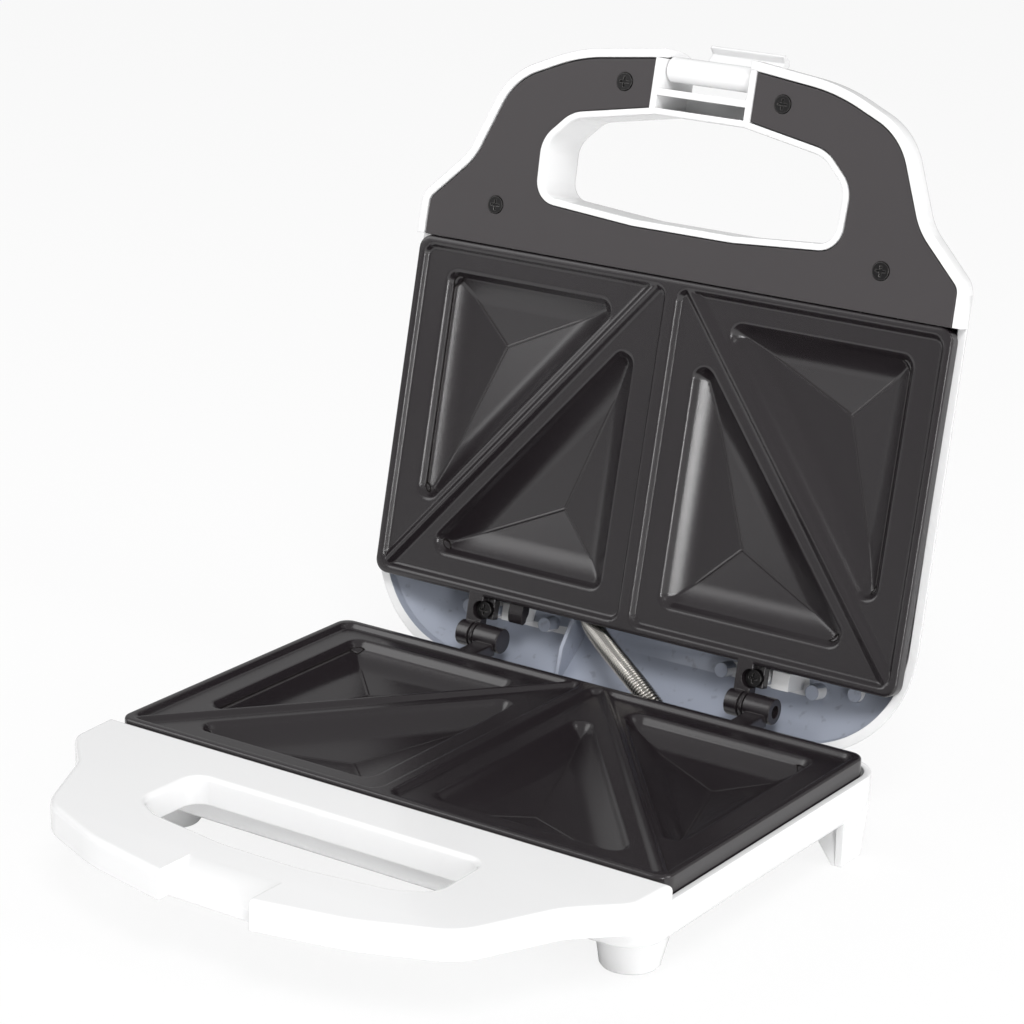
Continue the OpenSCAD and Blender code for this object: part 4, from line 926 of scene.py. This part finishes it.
def swung(skin):
    """Turns a latched part of the clip back about its pin, into the clip's open place."""
    y, z = skin[0][:, 1] - latch_y, skin[0][:, 2] - latch_z
    cosine, sine = math.cos(-latch_open), math.sin(-latch_open)
    turned_y, turned_z = latch_y + y * cosine - z * sine, latch_z + y * sine + z * cosine
    return np.column_stack((skin[0][:, 0], turned_y, turned_z)), skin[1]


barrel_half = latch_half - 0.4
lever_half = barrel_half - 2.6
barrel = turned_x([(-barrel_half, 3.9), (-barrel_half + 0.15, 4.25), (-barrel_half + 0.5, 4.4),
                   (barrel_half - 0.5, 4.4), (barrel_half - 0.15, 4.25), (barrel_half, 3.9)],
                  latch_y, latch_z)
pin_bore = rod_x(-barrel_half - 1, barrel_half + 1, latch_y, latch_z, 1.26)
latch_clip = solid("latch_clip_lever", swung(barrel), turned=True)
carve(latch_clip, "UNION", [swung(across_x(outline(lever), -lever_half, lever_half))], turned=True)
carve(latch_clip, "DIFFERENCE", [swung(pin_bore)], turned=True)
smooth(latch_clip)
dress(latch_clip, white_plastic)
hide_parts("latch_clip")
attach(latch_clip, "latch")

# Pins and the fuse's clip: bright drawn or sprung steel. The lever turns on one pin, and the lid on
# two that are pressed into its knuckles.
bright_steel = finish("bright_steel", (0.72, 0.71, 0.69), (0.62, 0.61, 0.6), (0.85, 0.84, 0.82),
                      roughness=0.2, metallic=1.0, fineness=1800, wave=300, bump=0.05, depth=0.0001)
for name in ("latch_pin", "hinge_pins", "fuse_clip"):
    dress(name, bright_steel)

# Conduit: a close-wound steel spring that carries the lid's wires across the hinge. It bends as
# the lid moves; here it is one fixed mesh, attached to neither the lid nor the base.
coil_wire_r = 0.5
coil_pitch = 1.05
steps_per_turn = 20
conduit_ends = [np.array(p, float) for p in (
    (-22, hinge_y + 18.4, 9.6), (-19.4, hinge_y + 8.4, 10.7), (conduit_x - 5.1, plate_d - 0.7, 4.4),
    (conduit_x, plate_d + 4.6, side_z - 0.6))]


def conduit_at(t):
    """A place on the conduit's middle line, a Bezier curve through its two ends."""
    a, b, c, d = conduit_ends
    return (1 - t) ** 3 * a + 3 * t * (1 - t) ** 2 * b + 3 * t * t * (1 - t) * c + t ** 3 * d


shares = np.linspace(0, 1, 400)
steps_along = np.diff([conduit_at(t) for t in shares], axis=0)
lengths = np.concatenate(([0], np.cumsum(np.linalg.norm(steps_along, axis=1))))
coil_count = int(lengths[-1] / coil_pitch) * steps_per_turn
coil_points = []
side_way = np.array((0.8, 0.5, 0.1))
for k in range(coil_count + 1):
    t = np.interp(lengths[-1] * k / coil_count, lengths, shares)
    ahead = unit(conduit_at(min(t + 0.002, 1)) - conduit_at(max(t - 0.002, 0)))
    out = unit(np.cross(side_way, ahead))
    over = np.cross(ahead, out)
    angle = 2 * math.pi * k / steps_per_turn
    turned_out = out * math.cos(angle) + over * math.sin(angle)
    coil_points.append(conduit_at(t) + (conduit_r - coil_wire_r) * turned_out)
coil_points = to_world(np.array(coil_points), False)
coil_curve = bpy.data.curves.new("conduit_coil", "CURVE")
coil_curve.dimensions = "3D"
coil_curve.bevel_depth = coil_wire_r / 1000
coil_curve.bevel_resolution = 2
coil_curve.use_fill_caps = True
spline = coil_curve.splines.new("POLY")
spline.points.add(len(coil_points) - 1)
for point, place_of in zip(spline.points, coil_points):
    point.co = (*place_of, 1)
coil_maker = bpy.data.objects.new("coil_maker", coil_curve)
bpy.context.scene.collection.objects.link(coil_maker)
bpy.context.view_layer.update()
coil_mesh = bpy.data.meshes.new_from_object(coil_maker.evaluated_get(bpy.context.evaluated_depsgraph_get()))
bpy.data.objects.remove(coil_maker)
conduit = bpy.data.objects.new("conduit_spring", coil_mesh)
coil_mesh.name = "conduit_spring"
bpy.context.scene.collection.objects.link(conduit)
coil_mesh.shade_smooth()
spring_steel = finish("spring_steel", (0.66, 0.64, 0.6), (0.5, 0.48, 0.45), (0.8, 0.78, 0.74),
                      roughness=0.24, metallic=1.0, fineness=2500, wave=250, bump=0.04, depth=0.0001)
dress(conduit, spring_steel)
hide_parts("spring_conduit")
tuple(to_world([conduit_ends[3]], False)[0])
tuple(to_world([conduit_ends[0]], False)[0])
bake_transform(conduit)

# Heating parts: tubular elements with heat tint, zinc-plated clamps and screws, and mill-finish
# aluminium reflectors behind both plates. They show only through the lid's open rear.
heater_steel = finish("heater_steel", (0.17, 0.155, 0.14), (0.26, 0.23, 0.2), (0.4, 0.38, 0.35),
                      roughness=0.42, metallic=0.9, fineness=1200, wave=80, bump=0.1)
zinc_steel = finish("zinc_steel", (0.5, 0.5, 0.5), (0.6, 0.6, 0.58), (0.75, 0.75, 0.74),
                    roughness=0.34, metallic=1.0, fineness=1500, wave=200, bump=0.05)
mill_sheet = finish("mill_sheet", (0.66, 0.66, 0.67), (0.6, 0.6, 0.61), (0.8, 0.8, 0.8),
                    roughness=0.36, metallic=1.0, fineness=600, wave=40, bump=0.04)
for name in ("base_element", "lid_element", "thermal_fuse"):
    dress(name, heater_steel)
for name in ("base_clamps", "lid_clamps", "base_clamp_screws", "lid_clamp_screws", "base_screws",
             "lid_reflector_screws"):
    dress(name, zinc_steel)
for name in ("base_reflector", "lid_reflector"):
    dress(name, mill_sheet)

# Electrical parts: an unglazed terminal block and thermostat, brass screws, braided leads, and
# the bush that the mains lead enters by, under the tub.
ceramic = finish("unglazed_ceramic", (0.78, 0.74, 0.66), (0.72, 0.68, 0.6), (0.85, 0.82, 0.76),
                 roughness=0.62, fineness=1400, wave=200, bump=0.12)
brass = finish("brass", (0.72, 0.55, 0.27), (0.62, 0.47, 0.22), (0.85, 0.7, 0.4), roughness=0.3, metallic=1.0,
               fineness=1500, wave=200, bump=0.05)
braid = finish("braided_sleeve", (0.74, 0.71, 0.64), (0.6, 0.57, 0.5), (0.82, 0.8, 0.74), roughness=0.75,
               fineness=2600, wave=900, bump=0.4, depth=0.0003)
bush_plastic = finish("bush_plastic", (0.8, 0.8, 0.8), (0.76, 0.76, 0.76), (0.88, 0.88, 0.88), roughness=0.42,
                      fineness=1200, wave=150, bump=0.08)
for name in ("terminal_block", "thermostat"):
    dress(name, ceramic)
dress("terminal_screws", brass)
for name in ("base_wires", "lid_wires"):
    dress(name, braid)
dress("cord_bush", bush_plastic)
dress("lamp_holder", white_plastic)

# Lamps: two small glow lamps of clear glass on a holder under the dome, behind a red and a green
# lens of clear plastic that are let into the dome.
red_lens = finish("red_lens", (0.62, 0.02, 0.015), (0.5, 0.015, 0.01), (0.75, 0.1, 0.08), roughness=0.12,
                  coat=0.6, fineness=1500, wave=100, bump=0.03)
green_lens = finish("green_lens", (0.02, 0.36, 0.07), (0.015, 0.28, 0.05), (0.1, 0.5, 0.15), roughness=0.12,
                    coat=0.6, fineness=1500, wave=100, bump=0.03)
lamp_glass = finish("lamp_glass", (0.75, 0.5, 0.32), (0.65, 0.42, 0.25), (0.85, 0.7, 0.55), roughness=0.1,
                    coat=0.5, fineness=1500, wave=100, bump=0.03)
dress("power_lens", red_lens)
dress("ready_lens", green_lens)
dress("neon_lamps", lamp_glass)

# Stage: a pale floor that shows near white to the camera and keeps a soft shadow, a white
# backdrop, and four lamps of which the strip shows as a streak on the wells' left walls.
floor_mesh = bpy.data.meshes.new("floor")
floor_half = 6.0
floor_mesh.from_pydata([(x * floor_half, y * floor_half, 0) for x, y in ((-1, -1), (1, -1), (1, 1), (-1, 1))],
                       [], [(0, 1, 2, 3)])
floor = bpy.data.objects.new("floor", floor_mesh)
bpy.context.scene.collection.objects.link(floor)
floor_paint = bpy.data.materials.new("floor_paint")
floor_paint.use_nodes = True
nodes, links = floor_paint.node_tree.nodes, floor_paint.node_tree.links
nodes["Principled BSDF"].inputs["Base Color"].default_value = (0.9, 0.9, 0.9, 1)
nodes["Principled BSDF"].inputs["Roughness"].default_value = 0.9
glow = nodes.new("ShaderNodeEmission")
glow.inputs["Strength"].default_value = 1.0
part_glow = nodes.new("ShaderNodeMixShader")
seen_by = nodes.new("ShaderNodeLightPath")
share_of_glow = nodes.new("ShaderNodeMath")
share_of_glow.operation = "MULTIPLY"
share_of_glow.inputs[1].default_value = 0.87
links.new(seen_by.outputs["Is Camera Ray"], share_of_glow.inputs[0])
links.new(share_of_glow.outputs["Value"], part_glow.inputs["Fac"])
links.new(nodes["Principled BSDF"].outputs["BSDF"], part_glow.inputs[1])
links.new(glow.outputs["Emission"], part_glow.inputs[2])
links.new(part_glow.outputs["Shader"], nodes["Material Output"].inputs["Surface"])
floor_mesh.materials.append(floor_paint)

world = bpy.data.worlds.new("studio")
bpy.context.scene.world = world
world.use_nodes = True
nodes, links = world.node_tree.nodes, world.node_tree.links
seen_by = nodes.new("ShaderNodeLightPath")
plain_light = nodes["Background"]
plain_light.inputs["Color"].default_value = (1, 1, 1, 1)
plain_light.inputs["Strength"].default_value = 0.44
backdrop = nodes.new("ShaderNodeBackground")
backdrop.inputs["Color"].default_value = (1, 1, 1, 1)
backdrop.inputs["Strength"].default_value = 1.0
either = nodes.new("ShaderNodeMixShader")
links.new(seen_by.outputs["Is Camera Ray"], either.inputs["Fac"])
links.new(plain_light.outputs["Background"], either.inputs[1])
links.new(backdrop.outputs["Background"], either.inputs[2])
links.new(either.outputs["Shader"], nodes["World Output"].inputs["Surface"])


def lamp(name, place_of, aim, width, height, power):
    data = bpy.data.lights.new(name, "AREA")
    data.shape = "RECTANGLE"
    data.size, data.size_y = width, height
    data.energy = power  # watts
    made = bpy.data.objects.new(name, data)
    bpy.context.scene.collection.objects.link(made)
    made.location = place_of
    made.rotation_euler = (Vector(aim) - Vector(place_of)).to_track_quat("-Z", "Y").to_euler()
    return made


# the key lamp stands high to the front right, the side lamp to the right, the fill to the left;
# the key isn't seen in gloss, where it would draw lines on the ridges
key = lamp("key_lamp", (0.95, -1.05, 1.75), (0, 0, 0.08), 0.7, 0.7, 24)
key.visible_glossy = False
lamp("strip_lamp", (1.05, -0.9, 0.24), (0, 0.1, 0.16), 0.26, 0.42, 4.5)
lamp("side_lamp", (1.6, 0.1, 0.9), (0, 0, 0.1), 0.5, 1.2, 8)
lamp("fill_lamp", (-1.3, -0.9, 1.1), (0, 0, 0.1), 1.3, 1.3, 10)
